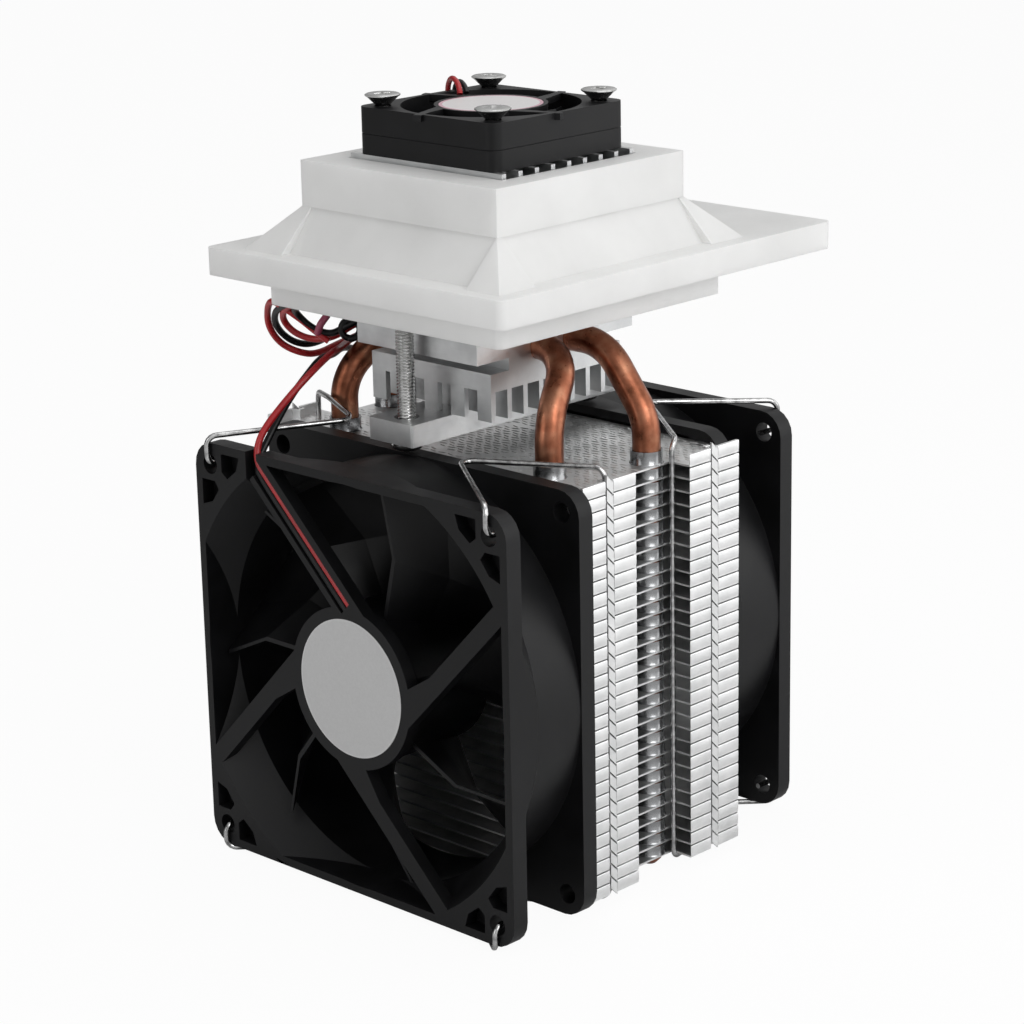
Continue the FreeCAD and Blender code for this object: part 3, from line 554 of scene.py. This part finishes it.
def finLevels(stack):
    # top of each fin's sheet, from the bottom fin up
    lowest = stack["bottom"] + stack["sheet"]
    return [lowest + level * stack["pitch"] for level in range(stack["count"])]


def eachColumn():
    return [(across, along) for across in (-1, 1) for along in (-1, 1)]


def finFolds(stack, build):
    height = stack["pitch"] - stack["sheet"] - stack["seam"]
    wall, (footInset, footHeight) = stack["wall"], stack["foldFoot"]
    headInset, headHeight = stack["foldHead"]
    fold = [(footInset, 0), (0, footHeight), (0, height - headHeight), (headInset, height),
            (wall, height), (wall, 0)]
    outlines = [columnOutline(stack, inset) for inset, _ in fold]
    for low in finLevels(stack):
        for across, along in eachColumn():
            loft([[(across * x, along * y, low + rise) for (x, y), (_, rise) in zip(spots, fold)]
                  for spots in zip(*outlines)], build)


def lockFingers(stack, build):
    # one slanted finger in the groove of each fold, lapped over the one below it
    middle = stack["halfDepth"] - stack["column"] / 2
    finger = stack["finger"]
    drop = finger["drop"]
    for low in finLevels(stack):
        high = low + stack["pitch"] - finger["gap"]
        for across, along in eachColumn():
            left, right = along * middle + finger["left"], along * middle + finger["right"]
            near, far = (across * (stack["halfWidth"] - finger[face]) for face in ("front", "back"))
            loft([[(x, left, low + drop), (x, right, low - drop), (x, right, high - drop),
                   (x, left, high + drop)] for x in (near, far)], build)


def onPlainSheet(x, y, ribs, legs):
    nearLeg = any(math.dist((x, y), leg) < ribs["legClear"] for leg in legs)
    onRing = abs(math.dist((x, y), ribs["ringMiddle"]) - ribs["ringRadius"]) < ribs["ringHalf"]
    inRecess = abs(x) > ribs["recess"][0] and abs(y) < ribs["recess"][1]
    return nearLeg or onRing or inRecess or abs(x) > ribs["reach"]


def addTopRibs(stack, ribs, build):
    # short raised ribs in staggered rows, left out round the collars and along a plain ring
    top = finLevels(stack)[-1]
    for row in range(ribs["rows"]):
        y = ribs["start"][1] + row * ribs["step"][1]
        for column in range(ribs["columns"]):
            x = ribs["start"][0] + column * ribs["step"][0] + (ribs["stagger"] if row % 2 else 0)
            if onPlainSheet(x, y, ribs, stack["legs"]):
                continue
            bend = ribs["bend"] if (row + column) % 2 else -ribs["bend"]
            rows = []
            for reach, half, lift in ribs["profile"]:
                spot, middle = x + reach, y + bend * reach
                foot, crest = top - ribs["sunk"], top + lift
                rows.append([(spot, middle - half, foot), (spot, middle + half, foot),
                             (spot, middle + half / 2, crest), (spot, middle - half / 2, crest)])
            loft(rows, build)


def addFinStack(stack, ribs):
    quarter = columnOutline(stack, stack["foldFoot"][0])
    quarter.append((stack["halfWidth"] - stack["recess"], quarter[-1][1]))
    right = quarter + [(x, -y) for x, y in reversed(quarter)]
    outline = right + [(-x, -y) for x, y in right]
    plates = bmesh.new()
    for top in finLevels(stack):
        prism(outline, top - stack["sheet"], top, plates)
    holes = [rod(stack["pipeHole"], 0, stack["collarTop"] + past, x, y, sides=stack["collarSides"])
             for x, y in stack["legs"]]
    fins = combine(newPiece(plates), holes, "DIFFERENCE")
    build = bmesh.new()
    build.from_mesh(fins.data)
    bpy.data.objects.remove(fins)
    finFolds(stack, build)
    lockFingers(stack, build)
    addTopRibs(stack, ribs, build)
    keepPiece(newPiece(build), "foldedFinStack", finStrip, ["fin_stack"], sharp=40)


def addFinCollars(stack):
    build = bmesh.new()
    sides, hole, outer = stack["collarSides"], stack["pipeHole"], stack["collar"]
    footWidth, footHeight = stack["collarFoot"]
    levels = finLevels(stack)
    for x, y in stack["legs"]:
        for low in levels:
            high = stack["collarTop"] if low == levels[-1] else low + stack["collarHeight"]
            profile = ((hole, low), (outer + footWidth, low), (outer, low + footHeight),
                       (outer, high), (hole, high))
            rows = [[build.verts.new(spot) for spot in ring(radius, height, x, y, sides)]
                    for radius, height in profile]
            for lower, upper in zip(rows, rows[1:] + rows[:1]):
                for index in range(sides):
                    after = (index + 1) % sides
                    build.faces.new((lower[index], lower[after], upper[after], upper[index]))
    keepPiece(newPiece(build), "finCollarSleeves", collarStripPaintedShade, sharp=40)


addFinStack(finStack, topRibs)
addFinCollars(finStack)
print("fin stack built")


# Bent pieces: straight runs with an arc of one radius at each corner.
def bendAlong(corners, bend, steps=6):
    corners = [Vector(corner) for corner in corners]
    largestShare = 0.48  # of a straight run that one bend may take up
    line = [corners[0]]
    for before, corner, after in zip(corners, corners[1:], corners[2:]):
        towards, away = (before - corner).normalized(), (after - corner).normalized()
        half = (math.pi - towards.angle(away)) / 2
        shortest = min((before - corner).length, (after - corner).length)
        reach = min(bend * math.tan(half), largestShare * shortest)
        radius = reach / math.tan(half)
        inward = (towards + away).normalized()
        centre = corner + inward * (radius / math.cos(half))
        first, last = corner + towards * reach - centre, corner + away * reach - centre
        for step in range(steps + 1):
            line.append(centre + first.lerp(last, step / steps).normalized() * radius)
    line.append(corners[-1])
    return line


def roundBar(line, radius, sides=14, dome=0.0):
    headings = [(after - before).normalized() for before, after in zip(line, line[1:])]
    middles = [(a + b).normalized() for a, b in zip(headings, headings[1:])]
    tangents = [headings[0]] + middles + [headings[-1]]
    turns = [2 * math.pi * step / sides for step in range(sides)]
    side = tangents[0].orthogonal().normalized()
    rings = []
    for before, spot, tangent in zip([tangents[0]] + tangents, line, tangents):
        side = before.rotation_difference(tangent) @ side
        up = tangent.cross(side)
        rings.append([spot + (side * math.cos(turn) + up * math.sin(turn)) * radius
                      for turn in turns])
    if dome:
        # two smaller rings round off each end
        ends = (rings[0], rings[-1])
        for share, shift in ((0.87, 0.5), (0.5, 0.87)):
            first = line[0] - tangents[0] * dome * shift
            last = line[-1] + tangents[-1] * dome * shift
            rings.insert(0, [first + (spot - line[0]) * share for spot in ends[0]])
            rings.append([last + (spot - line[-1]) * share for spot in ends[1]])
    return loft(rings)


heatPipes = {
    "radius": 3.0, "bend": 12, "axis": 113.3, "end": 2.1, "sides": 32, "bendSteps": 10,
    "inner": {"leg": (30.5, -16.5), "run": (25.5, -5), "knee": 101.3},
    "outer": {"leg": (38.3, 4.8), "run": (27, 5), "knee": 99.0},
}


def addHeatPipe(pipes, kind):
    pipe = pipes[kind]
    right = [(*pipe["run"], pipes["axis"]), (*pipe["leg"], pipe["knee"]),
             (*pipe["leg"], pipes["end"])]
    left = [(-x, y, z) for x, y, z in reversed(right)]
    line = bendAlong(left + right, pipes["bend"], pipes["bendSteps"])
    bar = roundBar(line, pipes["radius"], pipes["sides"], pipes["radius"])
    keepPiece(bar, kind + "HeatPipe", copper, ["heat_pipe_" + kind], sharp=60)


addHeatPipe(heatPipes, "inner")
addHeatPipe(heatPipes, "outer")

# Each clip hooks into two corner holes of a fan and runs down the stack between them.
wireClips = {
    "radius": 0.6, "sides": 12, "bend": 2.2, "bendSteps": 5, "fanMiddle": 46, "hole": 41.25,
    "face": 50.2, "inside": 44, "rim": 93.5, "under": -0.7, "foot": 0.7,
    "turn": (38, 23.5), "apex": (20, 32.8),
    "frontLeft": {
        "node": "front_left_clip", "fan": 3.5, "side": -1, "end": -1, "down": (41.3, 14.4),
        "rise": 95.8, "over": [(-19.5, -24, 95.0), (-31, -20.8, 97.4)]},
    "frontRight": {
        "node": "front_right_clip", "fan": 3.5, "side": 1, "end": -1, "down": (45.75, 16.5),
        "rise": 92.6, "over": [(18.2, -30.7, 94.0), (44.6, -17.0, 94.2)]},
    "rearLeft": {
        "node": "rear_left_clip", "fan": -4.5, "side": -1, "end": 1, "down": (42.6, 7.9),
        "rise": 92.6, "over": [(-24, 30, 94.5), (-42, 10, 94.2)]},
    "rearRight": {
        "node": "rear_right_clip", "fan": -4.5, "side": 1, "end": 1, "down": (42.6, 7.9),
        "rise": 92.6, "over": [(19, 27.5, 94.8), (42.3, 9.4, 94.4)]},
}


def addClip(clips, name):
    clip = clips[name]
    side, end, under = clip["side"], clip["end"], clips["under"]
    hole = clip["fan"] + side * clips["hole"]
    face, inside = end * clips["face"], end * clips["inside"]
    high, low = clips["fanMiddle"] + clips["hole"], clips["fanMiddle"] - clips["hole"]
    downX, downY = side * clip["down"][0], end * clip["down"][1]
    corners = [(hole, inside, high), (hole, face, high), (hole, face, clips["rim"])] + clip["over"]
    corners += [(downX, downY, clip["rise"]), (downX, downY, clips["foot"])]
    corners += [(side * x, end * y, under) for x, y in (clips["turn"], clips["apex"])]
    corners += [(hole, face, under), (hole, face, low), (hole, inside, low)]
    line = bendAlong(corners, clips["bend"], clips["bendSteps"])
    wire = roundBar(line, clips["radius"], clips["sides"])
    keepPiece(wire, name + "ClipWire", clipWirePaintedShade, [clip["node"]], sharp=60)


for clipName in ("frontLeft", "frontRight", "rearLeft", "rearRight"):
    addClip(wireClips, clipName)
print("pipes and clips bent")


# Frosted bulkhead: lower plate, wide flange, sloping hood with sunk panels, collar.
bulkhead = {
    "plate": (34.2, 120, 126), "corner": 1.8,
    "flangeLow": (-46, -41), "flangeHigh": (41.25, 63.2), "flange": (126, 132),
    "hood": (37.5, 28.5), "hoodTop": 141, "collarTop": 150.8,
    "panelHalf": 27, "panelShift": 1.2, "panelDeep": (2.4, 0.5), "panelRim": 0.1,
    "window": 20.5, "well": (22.5, 20.5), "wellFloor": 135.3,
    "bolt": 27.3, "boltHole": 2.15, "boltHoleDepth": 10,
}


def frustum(low, high, bottom, top):
    return loft([[(x * half, y * half, height) for x, y in ((1, 1), (-1, 1), (-1, -1), (1, -1))]
                 for half, height in ((low, bottom), (high, top))])


def addBulkhead(made):
    half, bottom, top = made["plate"]
    low, high = made["hood"]
    hoodBase, hoodTop, rim = made["flange"][1], made["hoodTop"], made["collarTop"]
    shell = plate(made["flangeLow"], made["flangeHigh"], made["corner"], *made["flange"])
    lower = plate((-half, -half), (half, half), made["corner"], bottom, top + lap)
    hood = frustum(low, high, hoodBase - lap, hoodTop)
    beyond = low + 10 * past
    near, far = (made["panelShift"] + side * made["panelHalf"] for side in (-1, 1))
    panelHalf, panelTop = made["panelHalf"], hoodTop - made["panelRim"]
    combine(hood, [block((near, -beyond, hoodBase), (far, beyond, panelTop)),
                   block((-beyond, -panelHalf, hoodBase), (beyond, panelHalf, panelTop))],
            "DIFFERENCE")
    deep, fade = made["panelDeep"]
    core = frustum(low - deep, high - fade, hoodBase - 2 * lap, hoodTop + lap)
    collar = block((-high, -high, hoodTop - lap), (high, high, rim))
    combine(shell, [lower, hood, core, collar], "UNION")
    wellX, wellY = made["well"]
    window = made["window"]
    cutters = [block((-window, -window, bottom - past), (window, window, rim + past)),
               block((-wellX, -wellY, made["wellFloor"]), (wellX, wellY, rim + past))]
    cutters += [rod(made["boltHole"], bottom - past, bottom + made["boltHoleDepth"],
                    0, y * made["bolt"], sides=24) for y in (-1, 1)]
    combine(shell, cutters, "DIFFERENCE")
    keepPiece(shell, "bulkheadAdapter", plastic, ["bulkhead_adapter"], rounding=0.4)


addBulkhead(bulkhead)
print("bulkhead built")


# Clamp bolts: pan heads below the bar and a rolled thread, drawn as a true helix.
clampBolt = {
    "radius": 2, "pitch": 0.7, "threadDepth": 0.336, "stepsPerTurn": 6, "sides": 20,
    "bar": 94.7, "top": 129, "spot": 27.3, "seat": 0.2, "head": 3.6, "headHeight": 2.3,
    "headProfile": [(0.3, 0), (0.62, 0.1), (0.85, 0.45), (0.97, 1.0), (1.0, 1.5), (1.0, 2.3)],
}


def threadedRod(bolt, low, high, x, y):
    pitch, sides = bolt["pitch"], bolt["sides"]
    steps = round((high - low) / pitch * bolt["stepsPerTurn"])
    rows = []
    for step in range(steps + 1):
        height = low + (high - low) * step / steps
        depth = bolt["threadDepth"] * (1 if step not in (0, steps) else 1.2)
        row = []
        for spot in range(sides):
            share = ((height - low) / pitch - spot / sides) % 1
            reach = bolt["radius"] - depth * abs(2 * share - 1)
            angle = 2 * math.pi * spot / sides
            row.append((x + reach * math.cos(angle), y + reach * math.sin(angle), height))
        rows.append(row)
    return rows


def addClampBolts(bolt):
    build = bmesh.new()
    under = bolt["bar"]
    for y in (-bolt["spot"], bolt["spot"]):
        loft(threadedRod(bolt, under - bolt["seat"], bolt["top"], 0, y), build)
        loft([ring(bolt["head"] * share, under - bolt["headHeight"] + lift, 0, y, 40)
              for share, lift in bolt["headProfile"]], build)
    keepPiece(newPiece(build), "clampBoltPair", boltSteel, ["clamp_bolts"], sharp=50)


addClampBolts(clampBolt)

# Countersunk screws of the small fan, each with a cross recess that stands at its own angle.
fanScrew = {
    "spot": 16, "top": 164.4, "sides": 40, "turn": (24, 31, 17),
    "profile": [(0.2, -27), (1.4, -25.6), (1.4, -2.6), (3.3, -0.75), (3.75, -0.45), (3.8, -0.25),
                (3.45, -0.05), (2.6, 0)],
    "recess": 4.2, "slot": 0.95, "recessDepth": 1.5, "tipShare": 0.45, "clear": 0.3,
}


def crossRecess(screw, x, y, turn):
    half, slot = screw["recess"] / 2, screw["slot"] / 2
    tip, rim = screw["top"] - screw["recessDepth"], screw["top"] + screw["clear"]
    arms = []
    for quarter in (0, 90):
        swing = Matrix.Rotation(math.radians(turn + quarter), 2)
        rows = []
        for share, height in ((screw["tipShare"], tip), (1, rim)):
            spots = [swing @ Vector(spot) * share
                     for spot in ((-half, -slot), (half, -slot), (half, slot), (-half, slot))]
            rows.append([(x + spot.x, y + spot.y, height) for spot in spots])
        arms.append(loft(rows))
    return arms


def addFanScrews(screw):
    build = bmesh.new()
    start, turnX, turnY = screw["turn"]
    for x in (-1, 1):
        for y in (-1, 1):
            spotX, spotY = x * screw["spot"], y * screw["spot"]
            head = loft([ring(radius, screw["top"] + height, spotX, spotY, screw["sides"])
                         for radius, height in screw["profile"]])
            turn = start + turnX * x + turnY * y
            combine(head, crossRecess(screw, spotX, spotY, turn), "DIFFERENCE")
            build.from_mesh(head.data)
            bpy.data.objects.remove(head)
    keepPiece(newPiece(build), "coldFanScrewSet", screwSteel, ["cold_fan_screws"], sharp=30)


addFanScrews(fanScrew)
print("bolts and screws made")


# Leads: soft stranded wire in PVC. Each route is the control line of a smooth spline, in mm.
redPvc = softPvc("softRedPvc", "#9c1218", "#bd1f25")
sleevePvc = softPvc("softPinkPvc", "#98405a", "#b85c74")
blackPvc = softPvc("softBlackPvc", "#060607", "#101012", 0.25)
leadRoutes = {
    "frontFanRedLead": {"colour": "red", "diameter": 1.5, "points": [
        (3.4, -48.55, 63.9), (-9.6, -48.55, 76.4), (-21.0, -48.55, 87.4), (-24.1, -48.5, 90.5),
        (-24.6, -46.6, 95.4), (-22.4, -41.5, 101.6), (-20.6, -35.5, 107.0), (-21.8, -28, 110),
        (-28.3, -19, 108.6), (-33.5, -9.5, 109), (-36.5, -3, 106)]},
    "frontFanBlackLead": {"colour": "black", "diameter": 1.5, "points": [
        (2.3, -48.55, 62.7), (-10.7, -48.55, 75.3), (-21.8, -48.55, 86.0), (-24.6, -48.1, 88.9),
        (-25.4, -43.8, 93.6), (-24.4, -38.2, 101.5), (-21.9, -35.0, 106.6), (-23.9, -29, 109.0),
        (-29.3, -20.5, 107.0), (-35.5, -11.5, 106.6), (-38.5, -5, 104.0)]},
    "rearFanRedLead": {"colour": "red", "diameter": 1.5, "points": [
        (-4.6, 25.45, 63.9), (-17.6, 25.45, 76.4), (-29.0, 25.45, 87.4), (-32.1, 25.5, 90.5),
        (-32.4, 26.2, 97), (-37, 24, 102), (-40.5, 15, 105.5), (-42.3, 4, 106.5),
        (-41.5, -7, 105.5), (-41.2, -14.5, 104.2), (-42.6, -18.5, 105.2), (-45.3, -21.5, 107.4),
        (-46.1, -24, 111.6), (-43.9, -26, 116.3), (-40.2, -28, 119.0), (-37.2, -28, 118.2),
        (-34.4, -24.5, 114.7), (-32.6, -22.3, 112.0), (-30.2, -20.8, 110.0)]},
    "rearFanBlackLead": {"colour": "black", "diameter": 1.5, "points": [
        (-5.7, 25.45, 62.7), (-18.7, 25.45, 75.3), (-29.8, 25.45, 86.0), (-32.6, 25.9, 88.9),
        (-33.4, 29.6, 93.6), (-35, 31, 98.8), (-39.5, 26, 103.5), (-42.5, 16, 107.3),
        (-44.3, 4, 108.3), (-43.5, -6, 107.5), (-42.3, -14.5, 106.2), (-43.3, -19, 107.4),
        (-44.6, -21.8, 110), (-43.6, -24.5, 113.4), (-39.6, -27, 117.2), (-33.5, -29, 119.2)]},
    "moduleRedLead": {"colour": "red", "diameter": 1.5, "points": [
        (-18.0, -10.5, 117.8), (-21.5, -12.5, 116.6), (-26.5, -17, 113.5), (-30.4, -18.5, 110.6),
        (-35.2, -20, 109.3), (-38.8, -22.5, 110.6), (-40.6, -24.5, 113.6), (-38.2, -26.5, 116.9),
        (-32.5, -29, 119.2)]},
    "moduleBlackLead": {"colour": "black", "diameter": 1.5, "points": [
        (-18.0, -14.5, 117.8), (-21.5, -16.5, 116.6), (-26.5, -20, 113.2), (-30.1, -20.5, 111.4),
        (-33.2, -23.0, 112.9), (-34.8, -25.4, 116), (-33.4, -28, 118.3), (-29.5, -29, 119.2)]},
    "coldFanRedLead": {"colour": "red", "diameter": 1.2, "points": [
        (-13.4, 4.4, 161.9), (-14.4, 5.2, 163.8), (-18.6, 7.2, 165), (-21.7, 8.9, 162.2),
        (-21.7, 9.4, 157), (-21.6, 9.6, 152.4)]},
    "coldFanBlackLead": {"colour": "black", "diameter": 1.2, "points": [
        (-13.4, 6.4, 161.9), (-14.4, 7.2, 163), (-18.4, 9.2, 164), (-21.6, 10.8, 161.4),
        (-21.7, 11.6, 156.6), (-21.6, 11.8, 152.4)]},
}


def splineLength(data):
    thin = data.copy()
    thin.bevel_depth = 0
    holder = bpy.data.objects.new("measuredLine", thin)
    line = bpy.data.meshes.new_from_object(holder)
    length = sum((a.co - b.co).length for a, b in zip(line.vertices, line.vertices[1:]))
    bpy.data.objects.remove(holder)
    bpy.data.meshes.remove(line)
    bpy.data.curves.remove(thin)
    return length


def addLead(name, lead):
    data = bpy.data.curves.new(name, "CURVE")
    data.dimensions = "3D"
    data.bevel_depth = lead["diameter"] / 2 * mm
    data.bevel_resolution = 5
    data.resolution_u = 10
    data.use_fill_caps = True
    spline = data.splines.new("NURBS")
    spline.points.add(len(lead["points"]) - 1)
    for point, spot in zip(spline.points, lead["points"]):
        point.co = (*(toPart @ Vector(spot)), 1)
    spline.order_u = 3
    spline.use_endpoint_u = True
    data.materials.append(redPvc if lead["colour"] == "red" else blackPvc)
    piece = bpy.data.objects.new(name, data)
    scene.collection.objects.link(piece)
    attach(piece, "root")
    length = splineLength(data)
    print(name, round(length / mm), "mm")
    if name.startswith("coldFan"):
        return  # a short jumper, held at both ends


for leadName, lead in leadRoutes.items():
    addLead(leadName, lead)

# A small spare coil of black lead and the thin sleeve that ties the strands together.
leadTie = {
    "coilMiddle": (-26, -18.1, 112.9), "coilAxis": (0.69, -0.72, 0.1), "coilRadius": 2.0,
    "turns": 1.75, "rise": 1.6, "steps": 48, "wire": 0.75, "wireSides": 12,
    "sleeve": [(-28.2, -22.8, 116.4), (-29.2, -24.0, 114.4), (-29.8, -24.4, 112.3)],
    "sleeveBend": 3, "sleeveRadius": 0.8, "sleeveDome": 0.2,
}


def addLeadTie(tie):
    towards = Vector(tie["coilAxis"]).normalized()
    across = towards.cross(Vector((0, 0, 1))).normalized()
    up = across.cross(towards)
    coil = []
    for step in range(tie["steps"] + 1):
        share = step / tie["steps"]
        turn = 2 * math.pi * tie["turns"] * share
        swing = (across * math.cos(turn) + up * math.sin(turn)) * tie["coilRadius"]
        coil.append(Vector(tie["coilMiddle"]) + swing + towards * tie["rise"] * share)
    wire = roundBar(coil, tie["wire"], tie["wireSides"], tie["wire"])
    keepPiece(wire, "spareLeadCoil", blackPvc, sharp=60)
    line = bendAlong(tie["sleeve"], tie["sleeveBend"])
    sleeve = roundBar(line, tie["sleeveRadius"], dome=tie["sleeveDome"])
    keepPiece(sleeve, "leadTieSleeve", sleevePvc, sharp=60)


addLeadTie(leadTie)
print("leads laid")


# Stage: a pale floor that shows white to the camera and keeps the shadow.
def whiteToCamera(tree, diffuse, keep):
    rays = addNode(tree, "ShaderNodeLightPath")
    white = addNode(tree, "ShaderNodeEmission", {"Color": (1, 1, 1, 1), "Strength": 1.0})
    share = addNode(tree, "ShaderNodeMath", {"operation": "MULTIPLY", 1: keep},
                    {0: rays.outputs["Is Camera Ray"]})
    return addNode(tree, "ShaderNodeMixShader", links={0: share.outputs["Value"], 1: diffuse,
                                                       2: white.outputs["Emission"]})


floorPaper = {"reach": 2.0, "tone": "#f2f2f2", "rough": 0.9, "white": 0.95}


def addFloor(paper):
    mesh = bpy.data.meshes.new("paperFloor")
    reach = paper["reach"]
    corners = [(-reach, -reach, 0), (reach, -reach, 0), (reach, reach, 0), (-reach, reach, 0)]
    mesh.from_pydata(corners, [], [(0, 1, 2, 3)])
    floor = bpy.data.objects.new("paperFloor", mesh)
    scene.collection.objects.link(floor)
    material = bpy.data.materials.new("whiteBackdropPaper")
    material.use_nodes = True
    tree = material.node_tree
    shader = tree.nodes["Principled BSDF"]
    shader.inputs["Base Color"].default_value = linearColour(paper["tone"])
    shader.inputs["Roughness"].default_value = paper["rough"]
    mix = whiteToCamera(tree, shader.outputs["BSDF"], paper["white"])
    tree.links.new(mix.outputs["Shader"], tree.nodes["Material Output"].inputs["Surface"])
    floor.data.materials.append(material)


# The room: plain white to the camera, soft grey light on the part, and in mirrored rays
# bright towards one side and dark behind, so that bare metal has something to reflect.
studio = {
    "light": 0.32, "bright": (0.75, 0.45, 0.5), "tones": [(0.25, 0.12), (0.5, 0.55), (0.72, 1.0)],
}


def addWorld(room):
    world = bpy.data.worlds.new("studioWorld")
    world.use_nodes = True
    scene.world = world
    tree = world.node_tree
    rays = addNode(tree, "ShaderNodeLightPath")
    seen = addNode(tree, "ShaderNodeMath", {"operation": "MAXIMUM"},
                   {0: rays.outputs["Is Camera Ray"], 1: rays.outputs["Is Transmission Ray"]})
    white = addNode(tree, "ShaderNodeBackground", {"Color": (1, 1, 1, 1), "Strength": 1.0})
    direction = addNode(tree, "ShaderNodeTexCoord").outputs["Generated"]
    towards = addNode(tree, "ShaderNodeVectorMath", {"operation": "DOT_PRODUCT", 1: room["bright"]},
                      {0: direction})
    facing = addNode(tree, "ShaderNodeMath", {"operation": "MULTIPLY_ADD", 1: 0.5, 2: 0.5},
                     {0: towards.outputs["Value"]})
    stops = [(spot, grey(tone)) for spot, tone in room["tones"]]
    tones = addNode(tree, "ShaderNodeValToRGB", {"stops": stops}, {"Fac": facing.outputs["Value"]})
    mirrored = addNode(tree, "ShaderNodeBackground", {"Strength": 1.0},
                       {"Color": tones.outputs["Color"]})
    soft = addNode(tree, "ShaderNodeBackground", {"Color": (1, 1, 1, 1), "Strength": room["light"]})
    first = addNode(tree, "ShaderNodeMixShader", links={
        0: rays.outputs["Is Glossy Ray"], 1: soft.outputs["Background"],
        2: mirrored.outputs["Background"]})
    last = addNode(tree, "ShaderNodeMixShader", links={
        0: seen.outputs["Value"], 1: first.outputs["Shader"], 2: white.outputs["Background"]})
    tree.links.new(last.outputs["Shader"], tree.nodes["World Output"].inputs["Surface"])


softBoxes = {
    "keySoftBox": {"place": (0.75, -0.15, 0.55), "size": 0.5, "watts": 2.8},
    "fillSoftBox": {"place": (-0.25, -0.95, 0.35), "size": 0.6, "watts": 1.7},
    "topSoftBox": {"place": (0.05, 0.15, 0.95), "size": 0.6, "watts": 1.6},
    "sideSoftBox": {"place": (0.33, 0.3, 0.19), "size": 0.36, "watts": 0.4},
}


def addSoftBox(name, setting, target=(0, 0, 0.08)):
    data = bpy.data.lights.new(name, "AREA")
    data.size = setting["size"]
    data.energy = setting["watts"]
    lamp = bpy.data.objects.new(name, data)
    scene.collection.objects.link(lamp)
    lamp.location = setting["place"]
    aim = Vector(target) - Vector(setting["place"])
    lamp.rotation_euler = aim.to_track_quat("-Z", "Y").to_euler()


addFloor(floorPaper)
addWorld(studio)
for boxName, setting in softBoxes.items():
    addSoftBox(boxName, setting)
scene.view_settings.view_transform = "Standard"
print("stage and lights set")
